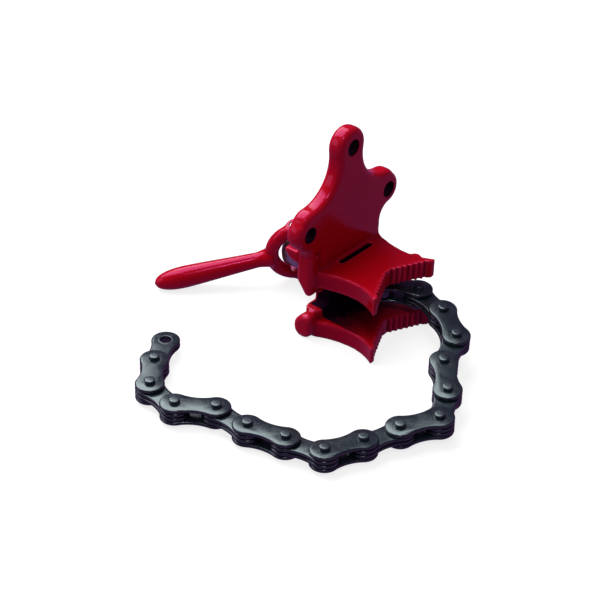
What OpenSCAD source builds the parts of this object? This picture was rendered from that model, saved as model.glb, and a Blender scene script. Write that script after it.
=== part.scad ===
// Bench chain vise for pipe, drawn as it lies on a table with its chain spread out.
//
// A cast body bolts flat on a bench top, with its lip against the front edge of the bench, so that
// the two notched jaws and the chain screw overhang the edge. The chain wraps the pipe and hooks
// into the notch between the two ears. Turning the yoke handle spins the nut behind the body,
// which draws the chain screw in and pulls the chain tight.
//
// Frame: the origin is midway between the two bench bolt holes, on the back face of the flange.
// +X points out of the bench face and along the jaws, +Y along the row of two bolts, +Z towards
// the third bolt. Lengths are in millimetres and angles in degrees.

/* [Flange] */
// Distance between the two bench bolts
bolt_spacing = 79.4; // [72:0.1:90]
// Diameter of the bolt holes
bolt_hole_d = 10.5; // [8:0.1:12]
// Rise of the third bolt hole above the other two
top_hole_rise = 46.3; // [42:0.1:56]
// Drop from the two bolt holes to the underside of the lower jaw
hole_height = 80.5; // [76:0.5:90]
// Thickness of the flange
flange_t = 12; // [9:0.5:16]
// Radius of the lobe around each side bolt hole
side_lobe_r = 11.3; // [9:0.1:13]
// Radius of the lobe around the third bolt hole
top_lobe_r = 13; // [10:0.1:15]
// Radius of the shoulder that rises beside each side lobe
shoulder_r = 11.5; // [9:0.1:13]
// Step of each shoulder's centre in and up from the side hole
shoulder_in = 3.5; // [2.5:0.1:4.5]
// Radius of the hollow between a shoulder and the top lobe
waist_r = 24.8; // [18:0.1:32]
// Radius of the hollow under each side lobe
under_lobe_r = 9.2; // [6:0.1:12]
// Reach of the flange's plain side from the middle
plain_side = 34; // [33:0.5:36]
// Reach of the ears on the notched side
ear_side = 39; // [37:0.5:42]

/* [Jaws] */
// Height over both jaws
jaw_height = 50; // [46:0.5:56]
// Thickness of each jaw
jaw_t = 12.2; // [10:0.1:13]
// Reach of the jaws in front of the flange
jaw_reach = 46.2; // [40:0.1:52]
// Half-width of the jaws at their narrowest
jaw_waist = 26.5; // [24:0.1:29]
// Distance of the narrowest place in front of the flange
jaw_waist_at = 26; // [22:0.5:30]
// Radius of the hollow side of the jaws, from the flange to the narrowest place
jaw_side_r = 55; // [46:1:70]
// Radius of the hollow side of the jaws, from the narrowest place to the tips
jaw_tip_r = 36; // [34:1:40]
// Depth of the notch for the pipe
mouth_depth = 13.7; // [11:0.1:15.5]
// Half-width of the flat at the bottom of the notch
mouth_flat = 1.2; // [0.5:0.1:3]
// Half-width of the notch between the two tips
mouth_half = 30.3; // [27:0.1:31]
// Pitch of the teeth
tooth_pitch = 3.6; // [2.6:0.1:4.5]
// Depth of the teeth
tooth_depth = 1.2; // [0.6:0.1:1.6]
// Length of the cored slot at the root of each jaw
slot_length = 33; // [20:0.5:36]
// Width of the cored slot
slot_w = 4; // [3:0.1:6]
// Place of the middle of the slot along the flange
slot_at = 3.5; // [-3:0.5:5]
// Web left between the slot and the flange
slot_web = 1; // [0.5:0.1:3]

/* [Ears and lip] */
// Depth of the ear blocks in from the side
ear_block = 9; // [7:0.5:12]
// Rise of the upper ear's underside from its point to the flange's back face
ear_slant = 10; // [6:0.5:12]
// Width and height of the corner that is cut from the upper ear's point
ear_point = 3; // [1.5:0.1:4]
// Rounding of the lower ear
ear_round = 5.5; // [3:0.5:6.5]
// Reach of the lower ear behind the flange's back face
ear_back = 1.5; // [0:0.1:3]
// Width of the chain notch between the ears
notch_w = 14; // [12.6:0.1:15.4]
// Depth of the chain notch
notch_depth = 21; // [18:0.5:24]
// Extra height of the notch at its mouth, on each side
notch_flare = 1.6; // [0:0.1:2]
// Reach of the lip behind the flange
lip_reach = 10.3; // [7:0.1:13]
// Drop from the two bolt holes to the top of the lip
lip_drop = 17.2; // [15:0.1:18.5]
// Height of the lip where it meets the flange
lip_h = 8.4; // [7:0.1:11]
// Height of the lip's outer edge
lip_edge = 3.8; // [3:0.1:5]
// Set-back of the lip's lower corner from its outer edge
lip_taper = 1.8; // [1:0.1:3]
// Rise of the lip's underside at half its reach
lip_lift = 1.5; // [0:0.1:2]

/* [Screw housing] */
// Place of the screw's axis along the flange
screw_y = 12; // [8:0.5:13]
// Depth of the housing behind the flange
housing_depth = 27; // [24:0.5:32]
// Width of the housing
housing_w = 34; // [31:0.5:36]
// Height of the housing
housing_h = 30; // [26:0.5:30]
// Rounding of the housing
housing_round = 5; // [2:0.5:7]
// Thickness of the housing's end wall
end_wall = 7; // [5:0.5:9]
// Height of the chain passage
passage_h = 19.4; // [18:0.1:20]
// Width of the chain passage inside the housing
passage_w = 24; // [22:0.5:26]
// Width of the passage's mouth through the flange
mouth_w = 32; // [28:0.5:34]

/* [Chain screw] */
// Diameter of the screw
screw_d = 16; // [14:0.5:16.5]
// Lead of the thread
screw_lead = 4; // [3:0.5:5]
// Depth of the thread
thread_depth = 1.3; // [0.5:0.1:1.8]
// Distance of the eye in front of the flange's back face
eye_at = 30; // [28:0.5:33]
// Width of the flat neck behind the eye
neck_w = 14; // [12:0.5:15]
// Length of the flat neck from the eye's axis
neck_length = 11.5; // [11:0.1:14]
// Screw left in the nut behind its middle
screw_tail = 8.7; // [6:0.1:9]
// Radial clearance of the screw in its nut
nut_clear = 0.08; // [0.04:0.01:0.1]
// Radial clearance of the screw in the housing's guide bore
guide_clear = 0.4; // [0.3:0.05:0.6]

/* [Nut and washer] */
// Diameter of the nut
nut_d = 24; // [23:0.5:25]
// Length of the nut
nut_l = 18; // [15:0.5:18]
// Chamfer of the nut's two ends
nut_chamfer = 3; // [3:0.1:4]
// Thickness of the thrust washer
washer_t = 2.6; // [2:0.1:4]
// Diameter of the thrust washer
washer_d = 25; // [24:0.5:28]
// Gap left at each face of the thrust washer
washer_gap = 0.1; // [0.05:0.01:0.2]

/* [Handle] */
// Diameter of the two pivot pins
pivot_d = 8; // [6:0.5:9]
// Depth that each pivot pin stays clear of the screw's axis
pivot_inset = 9.6; // [9.2:0.1:11]
// Clearance of each yoke arm beside the nut
yoke_clear = 3.3; // [2.6:0.1:3.6]
// Thickness of the yoke's pivot bosses
boss_t = 8.4; // [7:0.1:8.6]
// Diameter of the yoke's pivot bosses
boss_d = 14; // [12:0.5:14]
// Diameter of the yoke's ring
ring_d = 9.6; // [8:0.1:9.8]
// Clearance of the yoke's ring around the nut
ring_clear = 2.6; // [2:0.1:3]
// Radial clearance of the pivot pins in the yoke
pivot_clear = 0.08; // [0.04:0.01:0.1]
// Length of the handle from the pivot to its tip
handle_length = 101; // [90:1:120]
// Diameter of the rod where it leaves the yoke
rod_root_d = 10.6; // [9.6:0.1:13]
// Diameter of the rod at its thickest
rod_d = 15; // [13:0.1:16]
// Length of the rounded end of the rod
rod_nose = 22; // [14:1:28]
// Flare of the rod on each side where it leaves the ring
rod_flare = 2; // [1:0.1:3]
// Margin of the flat face inside each boss
face_margin = 2; // [1.5:0.1:3]
// Angle between the handle and the screw as it lies
handle_swing = 49.5; // [40:0.5:60]
// Turn of the nut at which the handle's end lies on the table
handle_roll = 15.4; // [12:0.1:17]

/* [Chain] */
// Pitch of the chain
chain_pitch = 25.4; // [24:0.1:28]
// Radius of the links' round ends
link_r = 9.25; // [8.5:0.05:10]
// Half-width of the links at their waist
link_waist = 6.9; // [6:0.1:8]
// Thickness of each link plate
plate_t = 2.4; // [2:0.1:2.6]
// Gap between an outer plate and the inner plate beside it
plate_gap = 0.5; // [0.45:0.05:0.6]
// Gap between the two inner plates
core_gap = 0.8; // [0.6:0.1:1.2]
// Diameter of the chain pins
pin_d = 6.8; // [6:0.1:7.4]
// Height of each pin's end above its plate
pin_proud = 2.4; // [1.5:0.1:2.6]
// Radial clearance between a pin and its bush
pin_clear = 0.3; // [0.25:0.05:0.4]
// Wall of the bushes
bush_wall = 1.3; // [1:0.1:1.6]
// Radial gap drawn at pressed seats
seat_gap = 0.01; // [0.005:0.005:0.02]

/* [Hidden] */
$fn = 96;

// Headings of the links as they lie, one for each link, counted from the screw's eye
HEADINGS = [26, -15, -34, -71, -48, -64, -121, -111, -115, -166, -166, 179, -146, 170, 128, 118];
// Shares of the drop from the eye to the table, in hundredths, for the first links
DROP_SHARES = [4, 11, 17, 19, 19, 17, 8, 5];
// Sideways lean of the first links, within the play of their pins
LEANS = [1.8, 1.8, 1.5, -2.2, 1.3, 0, -3.5, -1.3];

links = len(HEADINGS);
pairs = links / 2;

// Overlap that makes joined solids one, and the run-out of cuts
eps = 0.5;

floor_z = -hole_height;
mid_z = floor_z + jaw_height / 2;
jaw_gap = jaw_height - 2 * jaw_t;
jaw_tip_x = flange_t + jaw_reach;
lip_top_z = -lip_drop;

// Chain stack: half-heights from the chain's middle plane
core_half = core_gap / 2 + plate_t;
outer_half = core_half + plate_gap + plate_t;
pin_half = outer_half + pin_proud;
pin_r = pin_d / 2;
bush_bore_r = pin_r + pin_clear;
bush_r = bush_bore_r + bush_wall;
seat_hole_r = pin_r + seat_gap;
bush_hole_r = bush_r + seat_gap;

// Screw line behind the flange, from the housing's end to the nut
screw_r = screw_d / 2;
washer_x = -housing_depth - washer_gap;
nut_front_x = washer_x - washer_t - washer_gap;
pivot_x = nut_front_x - nut_l / 2;
screw_end_x = pivot_x - screw_tail;
guide_r = screw_r + guide_clear;

// Yoke: a half ring whose arms stand beside the nut
arm_inner = nut_d / 2 + yoke_clear;
arm_outer = arm_inner + boss_t;
ring_r = nut_d / 2 + ring_clear + ring_d / 2;
rod_thick_at = handle_length - rod_nose;

function sum_to(list, n) = n < 0 ? 0 : list[n] + sum_to(list, n - 1);
share_total = sum_to(DROP_SHARES, len(DROP_SHARES) - 1);
chain_drop = jaw_height / 2 - pin_half;

function dip(k) = k < len(DROP_SHARES) ?
    asin(chain_drop * DROP_SHARES[k] / share_total / chain_pitch) : 0;
function lean(k) = k < len(LEANS) ? LEANS[k] : 0;
function step(k) = chain_pitch * [
    cos(dip(k)) * cos(HEADINGS[k]), cos(dip(k)) * sin(HEADINGS[k]), -sin(dip(k))];
function joint_at(k) = k == 0 ? [eye_at, screw_y, mid_z] : joint_at(k - 1) + step(k - 1);

// Centre of the circle of radius r that touches two circles from outside, on the right of a to b
function touching(a, ra, b, rb, r) =
    let (
        d = norm(b - a),
        u = (b - a) / d,
        p = (pow(ra + r, 2) - pow(rb + r, 2) + d * d) / (2 * d),
        h = sqrt(pow(ra + r, 2) - p * p)
    ) a + p * u + h * [-u.y, u.x];

// ---- Cast body ------------------------------------------------------------------------------

side_hole = [bolt_spacing / 2, 0];
top_hole = [0, top_hole_rise];
shoulder = [bolt_spacing / 2 - shoulder_in, shoulder_in];
waist = touching(top_hole, top_lobe_r, shoulder, shoulder_r, waist_r);

// Centre of the hollow under a side lobe, beside a body side at this reach
function under_lobe(reach) =
    let (dy = reach + under_lobe_r - side_hole.x)
    [reach + under_lobe_r, -sqrt(pow(side_lobe_r + under_lobe_r, 2) - dy * dy)];

// Half of the flange's outline, on +Y; reach is where its side runs down
module half_outline(reach, foot) {
    hollow = under_lobe(reach);
    difference() {
        union() {
            polygon([[0, foot], [reach, foot], [reach, hollow.y], hollow, side_hole, shoulder, waist,
                top_hole, [0, top_hole.y]]);
            translate(side_hole) circle(side_lobe_r);
            translate(shoulder) circle(shoulder_r);
        }
        translate(waist) circle(waist_r);
        translate(hollow) circle(under_lobe_r);
    }
}

module flange_outline() {
    half_outline(plain_side, floor_z);
    mirror([1, 0]) half_outline(ear_side, ear_slope_z);
    translate([-ear_side + ear_block - eps, floor_z])
        square([ear_side - ear_block + 2 * eps, ear_slope_z - floor_z + eps]);
    translate(top_hole) circle(top_lobe_r);
}

module flange() {
    rotate([90, 0, 90]) linear_extrude(flange_t) flange_outline();
}

module round_rect(w, h, r) {
    translate([r, 0]) square([w - 2 * r, h]);
    translate([0, r]) square([w, h - 2 * r]);
    for (x = [r, w - r], y = [r, h - r]) translate([x, y]) circle(r);
}

upper_ear_foot = mid_z + notch_w / 2 + notch_flare / 2;
lower_ear_top = mid_z - notch_w / 2 - notch_flare / 2;
ear_slope_z = upper_ear_foot + ear_slant;

// Extrudes an outline that is seen along the flange, from the ears' side face inwards
module from_ear_side() {
    translate([0, -ear_side + ear_block, 0]) rotate([90, 0, 0]) linear_extrude(ear_block) children();
}

// The upper ear ends in a point at the front; the lower one is a rounded knob
module ears() {
    from_ear_side() translate([0, upper_ear_foot])
        polygon([[0, ear_slant + eps], [0, ear_slant], [flange_t - ear_point, 0],
            [flange_t, ear_point], [flange_t, ear_slant + eps]]);
    from_ear_side() translate([-ear_back, floor_z])
        round_rect(flange_t + ear_back, lower_ear_top - floor_z, ear_round);
}

// Points of one flank of the notch, from its bottom out to the tip, with a tooth at each pitch
flank_run = mouth_half - mouth_flat;
flank_angle = atan(mouth_depth / flank_run);
flank_length = norm([mouth_depth, flank_run]);
teeth = floor(flank_length / tooth_pitch);
tooth_step = flank_length / teeth;
flank_foot = [jaw_tip_x - mouth_depth, mouth_flat];
flank_dir = [sin(flank_angle), cos(flank_angle)];
flank_out = [cos(flank_angle), -sin(flank_angle)];
function flank(side) = [for (i = [0:2 * teeth])
    let (p = flank_foot + flank_dir * tooth_step * i / 2 - flank_out * tooth_depth * (i % 2))
    [p.x, side * p.y]];
function backwards(list) = [for (i = [len(list) - 1:-1:0]) list[i]];

// The notch for the pipe, open towards +X
module mouth_outline() {
    run_out = jaw_tip_x + 2 * tooth_depth;
    polygon(concat([[run_out, -mouth_half]], backwards(flank(-1)), flank(1), [[run_out, mouth_half]]));
}

module slot_outline() {
    x = flange_t + slot_web + slot_w / 2;
    half = (slot_length - slot_w) / 2;
    translate([x - slot_w / 2, slot_at - half]) square([slot_w, 2 * half]);
    for (s = [-1, 1]) translate([x, slot_at + s * half]) circle(d = slot_w);
}

module jaw_outline() {
    root = plain_side - 1;
    waist_x = flange_t + jaw_waist_at;
    difference() {
        translate([flange_t - eps, -root]) square([jaw_reach + eps, 2 * root]);
        for (s = [-1, 1]) translate([waist_x, s * (jaw_waist + jaw_tip_r)]) circle(jaw_tip_r);
        for (s = [-1, 1]) intersection() {
            translate([waist_x, s * (jaw_waist + jaw_side_r)]) circle(jaw_side_r);
            translate([flange_t - 2 * eps, -2 * root]) square([jaw_waist_at + 2 * eps, 4 * root]);
        }
        mouth_outline();
        slot_outline();
    }
}

module jaws() {
    for (z = [floor_z, floor_z + jaw_height - jaw_t])
        translate([0, 0, z]) linear_extrude(jaw_t) jaw_outline();
}

// The lip that stops against the bench's edge
module lip() {
    translate([0, plain_side, lip_top_z]) rotate([90, 0, 0]) linear_extrude(ear_side + plain_side)
        polygon([[eps, 0], [-lip_reach, 0], [-lip_reach + lip_taper, -lip_edge],
            [-lip_reach / 2, -lip_h + lip_lift], [eps, -lip_h]]);
}

module housing() {
    translate([-housing_depth, screw_y - housing_w / 2, mid_z - housing_h / 2]) rotate([90, 0, 90])
        linear_extrude(housing_depth + eps) round_rect(housing_w, housing_h, housing_round);
}

// The way of the chain through the flange into the housing, and the screw's guide bore
module passage() {
    translate([end_wall - housing_depth, screw_y - passage_w / 2, mid_z - passage_h / 2])
        cube([housing_depth - end_wall + flange_t + eps, passage_w, passage_h]);
    translate([0, screw_y - mouth_w / 2, mid_z - passage_h / 2])
        cube([flange_t + eps, mouth_w, passage_h]);
    translate([-housing_depth - eps, screw_y, mid_z]) rotate([0, 90, 0])
        cylinder(h = end_wall + 2 * eps, r = guide_r);
}

module chain_notch() {
    half = notch_w / 2;
    flared = half + notch_flare;
    inner = notch_depth - ear_side;
    throat = ear_block - ear_side;
    translate([-ear_back - eps, 0, mid_z]) rotate([90, 0, 90])
        linear_extrude(ear_back + flange_t + 2 * eps)
        polygon([[inner, -half], [throat, -half], [-ear_side - eps, -flared], [-ear_side - eps, flared],
            [throat, half], [inner, half]]);
}

module bolt_holes() {
    for (p = [side_hole, -side_hole, top_hole])
        translate([-eps, p.x, p.y]) rotate([0, 90, 0]) cylinder(h = flange_t + 2 * eps, d = bolt_hole_d);
}

module vise_base() color([0.66, 0.03, 0.05]) {
    difference() {
        union() {
            flange();
            ears();
            jaws();
            lip();
            housing();
        }
        bolt_holes();
        chain_notch();
        passage();
    }
}

// ---- Screw, washer and nut ------------------------------------------------------------------

// A round bar along +Z with both its ends chamfered
module turned_bar(r, bottom, top, chamfer) {
    rotate_extrude() polygon([[0, bottom], [r - chamfer, bottom], [r, bottom + chamfer],
        [r, top - chamfer], [r - chamfer, top], [0, top]]);
}

// Shank along +X with a groove at each lead
module screw_shank() {
    front = eye_at - neck_length;
    turns = floor((front - screw_end_x) / screw_lead) - 1;
    groove = screw_lead / 2;
    chamfer = 1;
    rotate([90, 0, 90]) difference() {
        turned_bar(screw_r, screw_end_x, front, chamfer);
        for (i = [1:turns]) translate([0, 0, screw_end_x + i * screw_lead])
            rotate_extrude() polygon([[screw_r - thread_depth, -groove / 4],
                [screw_r + eps, -groove / 2], [screw_r + eps, groove / 2],
                [screw_r - thread_depth, groove / 4]]);
    }
}

module chain_screw() color([0.16, 0.17, 0.19]) {
    translate([0, screw_y, mid_z]) difference() {
        union() {
            screw_shank();
            translate([eye_at - neck_length - eps, -neck_w / 2, -core_half])
                cube([neck_length + eps, neck_w, 2 * core_half]);
            translate([eye_at, 0, -core_half]) cylinder(h = 2 * core_half, r = link_r);
        }
        translate([eye_at, 0, -core_half - eps]) cylinder(h = 2 * (core_half + eps), r = bush_bore_r);
    }
}

module thrust_washer() color([0.45, 0.46, 0.48]) {
    translate([washer_x - washer_t, screw_y, mid_z]) rotate([0, 90, 0]) difference() {
        cylinder(h = washer_t, d = washer_d);
        translate([0, 0, -eps]) cylinder(h = washer_t + 2 * eps, r = guide_r);
    }
}

// Turns a shape that is drawn with the screw along X and the pivot along Z to the handle's place
module at_pivot() {
    translate([pivot_x, screw_y, mid_z]) rotate([handle_roll, 0, 0]) children();
}

module handle_nut() color([0.3, 0.31, 0.33]) {
    at_pivot() difference() {
        rotate([0, 90, 0]) turned_bar(nut_d / 2, -nut_l / 2, nut_l / 2, nut_chamfer);
        rotate([0, 90, 0]) cylinder(h = nut_l + 2 * eps, r = screw_r + nut_clear, center = true);
        for (s = [0, 180]) rotate([s, 0, 0]) translate([0, 0, pivot_inset - seat_gap])
            cylinder(h = nut_d / 2, d = pivot_d + 2 * seat_gap);
    }
}

module pivot_pins() color([0.5, 0.51, 0.53]) {
    at_pivot() for (s = [0, 180]) rotate([s, 0, 0]) translate([0, 0, pivot_inset])
        cylinder(h = arm_outer - pivot_inset - pin_clear, d = pivot_d);
}

// ---- Yoke handle ----------------------------------------------------------------------------

// Radius of the rod's rounded end, this share of the way along it
nose_fall = 0.94;
nose_power = 2.4;
nose_steps = 8;
function nose_r(t) = rod_d / 2 * sqrt(1 - nose_fall * pow(t, nose_power));

// The rod, drawn along +Z from the yoke's ring to its tip
module rod() {
    rotate_extrude() polygon(concat(
        [[0, ring_r]], [[rod_root_d / 2 + rod_flare, ring_r]], [[rod_root_d / 2, ring_r + ring_d]],
        [for (i = [0:nose_steps]) [nose_r(i / nose_steps), rod_thick_at + rod_nose * i / nose_steps]],
        [[0, handle_length]]));
}

// The half ring around the nut, in the plane of the pivot and the rod
module yoke_ring() {
    rotate([90, 0, 0]) rotate([0, 0, 90]) rotate_extrude(angle = 180)
        translate([ring_r, 0]) circle(d = ring_d);
}

module yoke_handle() color([0.62, 0.03, 0.05]) {
    at_pivot() rotate([0, 0, handle_swing]) difference() {
        union() {
            yoke_ring();
            rotate([0, -90, 0]) rod();
            for (s = [0, 180]) rotate([s, 0, 0]) translate([0, 0, arm_inner])
                cylinder(h = boss_t, d = boss_d);
        }
        cylinder(h = 2 * (arm_outer + eps), d = pivot_d + 2 * pivot_clear, center = true);
        cylinder(h = 2 * arm_inner, d = boss_d + 2 * face_margin, center = true);
    }
}

// ---- Chain ----------------------------------------------------------------------------------

// Radius that hollows the link's waist, just biting into the circles of both round ends
link_bite = 0.06;
link_reach = link_r - link_bite;
link_hollow_r = (pow(chain_pitch / 2, 2) + pow(link_waist, 2) - pow(link_reach, 2))
    / (2 * (link_reach - link_waist));
link_hollow_y = link_waist + link_hollow_r;

module link_outline() {
    half = chain_pitch / 2;
    for (x = [0, chain_pitch]) translate([x, 0]) circle(link_r);
    difference() {
        polygon([[0, 0], [half, link_hollow_y], [chain_pitch, 0], [half, -link_hollow_y]]);
        for (s = [-1, 1]) translate([half, s * link_hollow_y]) circle(link_hollow_r);
    }
}

// Puts a link's parts at its place, with its first hole at the origin and its second along +X
module at_link(k) {
    translate(joint_at(k)) rotate([lean(k), dip(k), HEADINGS[k]]) children();
}

// Two plates whose inner faces are this far from the middle
module plate_pair(inner_face, hole_r) {
    for (z = [inner_face, -inner_face - plate_t]) translate([0, 0, z]) linear_extrude(plate_t)
        difference() {
            link_outline();
            for (x = [0, chain_pitch]) translate([x, 0]) circle(hole_r);
        }
}

module outer_plates(i) color([0.13, 0.14, 0.17]) {
    at_link(2 * i - 2) plate_pair(core_half + plate_gap, seat_hole_r);
}

module inner_plates(i) color([0.16, 0.17, 0.2]) {
    at_link(2 * i - 1) plate_pair(core_gap / 2, bush_hole_r);
}

module chain_pins(i) color([0.2, 0.21, 0.24]) {
    chamfer = 0.5;
    at_link(2 * i - 2) for (x = [0, chain_pitch]) translate([x, 0, 0])
        turned_bar(pin_r, -pin_half, pin_half, chamfer);
}

module link_bushes(i) color([0.22, 0.23, 0.26]) {
    at_link(2 * i - 1) for (x = [0, chain_pitch]) translate([x, 0, -core_half]) difference() {
        cylinder(h = 2 * core_half, r = bush_r);
        translate([0, 0, -eps]) cylinder(h = 2 * (core_half + eps), r = bush_bore_r);
    }
}

vise_base();
chain_screw();
thrust_washer();
handle_nut();
pivot_pins();
yoke_handle();
for (i = [1:pairs]) {
    outer_plates(i);
    chain_pins(i);
    inner_plates(i);
    link_bushes(i);
}
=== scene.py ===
"""Looks of a bench chain vise for pipe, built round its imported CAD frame.

The red casting and its yoke handle are cast and forged pieces with soft edges, so they are modelled
here and stand for their plain CAD solids. The chain's plates, pins and bushes, the chain screw, the
nut, the washer and the pivot pins are modelled once each and placed where the CAD has them.

Sizes are in millimetres, in the frame of the CAD: the origin is midway between the two bench bolt
holes on the back of the flange, +X runs out along the jaws and +Z towards the third bolt hole.
"""

import logging
import math
from collections.abc import Callable
from dataclasses import dataclass
from enum import Enum

import bpy
import numpy as np
from mathutils import Matrix, Vector


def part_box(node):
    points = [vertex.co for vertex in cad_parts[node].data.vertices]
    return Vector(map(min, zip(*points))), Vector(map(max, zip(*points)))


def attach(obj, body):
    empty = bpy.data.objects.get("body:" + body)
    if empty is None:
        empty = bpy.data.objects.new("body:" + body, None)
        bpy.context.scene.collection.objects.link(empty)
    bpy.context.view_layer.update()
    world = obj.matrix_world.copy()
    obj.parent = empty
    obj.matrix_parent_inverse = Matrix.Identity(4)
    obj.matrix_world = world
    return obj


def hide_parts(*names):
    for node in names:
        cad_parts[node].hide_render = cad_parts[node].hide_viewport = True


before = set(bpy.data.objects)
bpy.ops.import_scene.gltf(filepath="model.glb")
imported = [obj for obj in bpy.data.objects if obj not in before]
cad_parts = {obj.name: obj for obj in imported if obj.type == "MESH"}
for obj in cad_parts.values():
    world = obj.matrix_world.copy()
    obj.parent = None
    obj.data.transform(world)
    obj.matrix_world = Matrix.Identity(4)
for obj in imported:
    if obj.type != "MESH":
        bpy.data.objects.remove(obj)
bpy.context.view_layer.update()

log = logging.getLogger("chain_vise")

MM = 0.001
NEAR = 0.01
# Mesh attributes: edge lightens outer edges as wear and painted highlight, hollow darkens inner
# corners as painted shade.
EDGE = "edge"
PAINTED_SHADE = "hollow"
BEND_GAIN = 9.0
BEND_SPREAD = 3
# How strongly inner corners take the painted shade.
PAINTED_SHADE_SHARE = 0.5
SHARP_ANGLE = 40.0
CAST_ANGLE = 32.0
FORGED_ANGLE = 35.0

Point = tuple[float, float]
Place = tuple[float, float, float]
Color = tuple[float, float, float]
Object = bpy.types.Object
Socket = bpy.types.NodeSocket
Sockets = bpy.types.bpy_prop_collection
Value = Socket | float | tuple[float, ...]


# ---- Modelling tools --------------------------------------------------------------------------


class Plane(Enum):
    """The plane that an outline is drawn in, named by where it is seen from."""

    FRONT = "front"
    TOP = "top"
    SIDE = "side"

    def point(self, across: float, up: float, depth: float) -> Vector:
        """Finds a point that is drawn in this plane.

        Args:
            across: Its first drawn coordinate, in millimetres.
            up: Its second.
            depth: Its distance from the plane.

        Returns:
            Its place, in metres.
        """
        if self is Plane.FRONT:
            return Vector((depth, across, up)) * MM
        if self is Plane.TOP:
            return Vector((across, up, depth)) * MM
        return Vector((across, depth, up)) * MM

    def depth(self, length: float) -> Vector:
        """Returns the step in metres that an extrusion of this length takes."""
        return self.point(0, 0, length)


class Cut(Enum):
    """What a boolean does with the second shape."""

    AWAY = "DIFFERENCE"
    JOIN = "UNION"
    KEEP = "INTERSECT"


def arc(centre: Point, radius: float, start: float, end: float, steps: int) -> list[Point]:
    """Points along an arc.

    Args:
        centre: Centre of the circle.
        radius: Its radius.
        start: Angle of the first point, in degrees.
        end: Angle of the last point, in degrees.
        steps: Number of equal steps between them.

    Returns:
        The points, both ends included.
    """
    angles = [math.radians(start + (end - start) * i / steps) for i in range(steps + 1)]
    return [(centre[0] + radius * math.cos(a), centre[1] + radius * math.sin(a)) for a in angles]


def bearing(a: Point, b: Point) -> float:
    """Returns the direction from a to b, in degrees."""
    return math.degrees(math.atan2(b[1] - a[1], b[0] - a[0]))


def mirrored(points: list[Point]) -> list[Point]:
    """Returns the points mirrored left to right, in the opposite order."""
    return [(-x, y) for x, y in reversed(points)]


def mirrored_across(points: list[Point]) -> list[Point]:
    """Returns the points mirrored across the first axis, in the opposite order."""
    return [(x, -y) for x, y in reversed(points)]


def deselect() -> None:
    """Leaves edit mode and deselects every object."""
    if bpy.context.object is not None and bpy.context.object.mode != "OBJECT":
        bpy.ops.object.mode_set(mode="OBJECT")
    bpy.ops.object.select_all(action="DESELECT")


def pick(obj: Object) -> Object:
    """Makes obj the only selected object and the active one, and returns it."""
    deselect()
    obj.select_set(True)
    bpy.context.view_layer.objects.active = obj
    return obj


def edit(obj: Object, mode: str = "VERT", action: str = "SELECT") -> None:
    """Opens obj in edit mode.

    Args:
        obj: The object to open.
        mode: VERT, EDGE or FACE, what is selected there.
        action: SELECT for everything, DESELECT for nothing.
    """
    pick(obj)
    bpy.ops.object.mode_set(mode="EDIT")
    bpy.ops.mesh.select_mode(type=mode)
    bpy.ops.mesh.select_all(action=action)


def leave() -> None:
    """Goes back to object mode."""
    bpy.ops.object.mode_set(mode="OBJECT")


def face_outwards(obj: Object) -> Object:
    """Merges doubles and turns every face outwards, and returns obj."""
    edit(obj)
    bpy.ops.mesh.remove_doubles(threshold=1e-6)
    bpy.ops.mesh.normals_make_consistent(inside=False)
    leave()
    return obj


def outline_loop(name: str, places: list[Vector], filled: bool) -> Object:
    """A circle primitive whose vertices are moved onto an outline.

    Args:
        name: Name of the new object.
        places: The outline's corners, in metres.
        filled: True if the loop has a face.

    Returns:
        The new object, not yet given any depth.
    """
    deselect()
    fill = "NGON" if filled else "NOTHING"
    bpy.ops.mesh.primitive_circle_add(vertices=len(places), radius=MM, fill_type=fill)
    obj = bpy.context.object
    obj.name = name
    for vertex, place in zip(obj.data.vertices, places):
        vertex.co = place
    return obj


def prism(name: str, outline: list[Point], plane: Plane, start: float, end: float) -> Object:
    """A flat-sided piece of one outline.

    Args:
        name: Name of the new object.
        outline: Its outline, in millimetres.
        plane: The plane that the outline is drawn in.
        start: Depth at which the piece begins.
        end: Depth at which it ends.

    Returns:
        The closed solid.
    """
    obj = outline_loop(name, [plane.point(x, y, start) for x, y in outline], filled=True)
    edit(obj, "FACE")
    step = {"value": plane.depth(end - start)}
    bpy.ops.mesh.extrude_region_move(TRANSFORM_OT_translate=step)
    leave()
    return face_outwards(obj)


def turned(name: str, profile: list[Point], steps: int = 64) -> Object:
    """A turned piece, made by spinning a profile about Z.

    Args:
        name: Name of the new object.
        profile: Closed profile as radius and height, in millimetres.
        steps: Number of steps round.

    Returns:
        The closed solid.
    """
    obj = outline_loop(name, [Vector((r, 0, z)) * MM for r, z in profile], filled=False)
    edit(obj)
    bpy.ops.mesh.spin(steps=steps, angle=math.tau, center=(0, 0, 0), axis=(0, 0, 1))
    leave()
    return face_outwards(obj)


def rounded_bar(radius: float, bottom: float, top: float, edge: float) -> list[Point]:
    """Draws a round bar with both rims rounded.

    Args:
        radius: Its radius.
        bottom: Height of its lower end.
        top: Height of its upper end.
        edge: Radius of its rims.

    Returns:
        Its profile, out from the axis and back to it.
    """
    low = arc((radius - edge, bottom + edge), edge, -90, 0, 4)
    high = arc((radius - edge, top - edge), edge, 0, 90, 4)
    return [(0, bottom), *low, *high, (0, top)]


def plain_bar(radius: float, bottom: float, top: float) -> list[Point]:
    """Draws a round bar with plain ends.

    Args:
        radius: Its radius.
        bottom: Height of its lower end.
        top: Height of its upper end.

    Returns:
        Its profile, out from the axis and back to it.
    """
    return [(0, bottom), (radius, bottom), (radius, top), (0, top)]


def rounded_ring(inner: float, outer: float, bottom: float, top: float, edge: float) -> list[Point]:
    """Draws a ring with its four rims rounded.

    Args:
        inner: Radius of its bore.
        outer: Its outer radius.
        bottom: Height of its lower end.
        top: Height of its upper end.
        edge: Radius of its rims.

    Returns:
        Its profile.
    """
    return [
        *arc((inner + edge, bottom + edge), edge, 180, 270, 3),
        *arc((outer - edge, bottom + edge), edge, 270, 360, 3),
        *arc((outer - edge, top - edge), edge, 0, 90, 3),
        *arc((inner + edge, top - edge), edge, 90, 180, 3),
    ]


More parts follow.
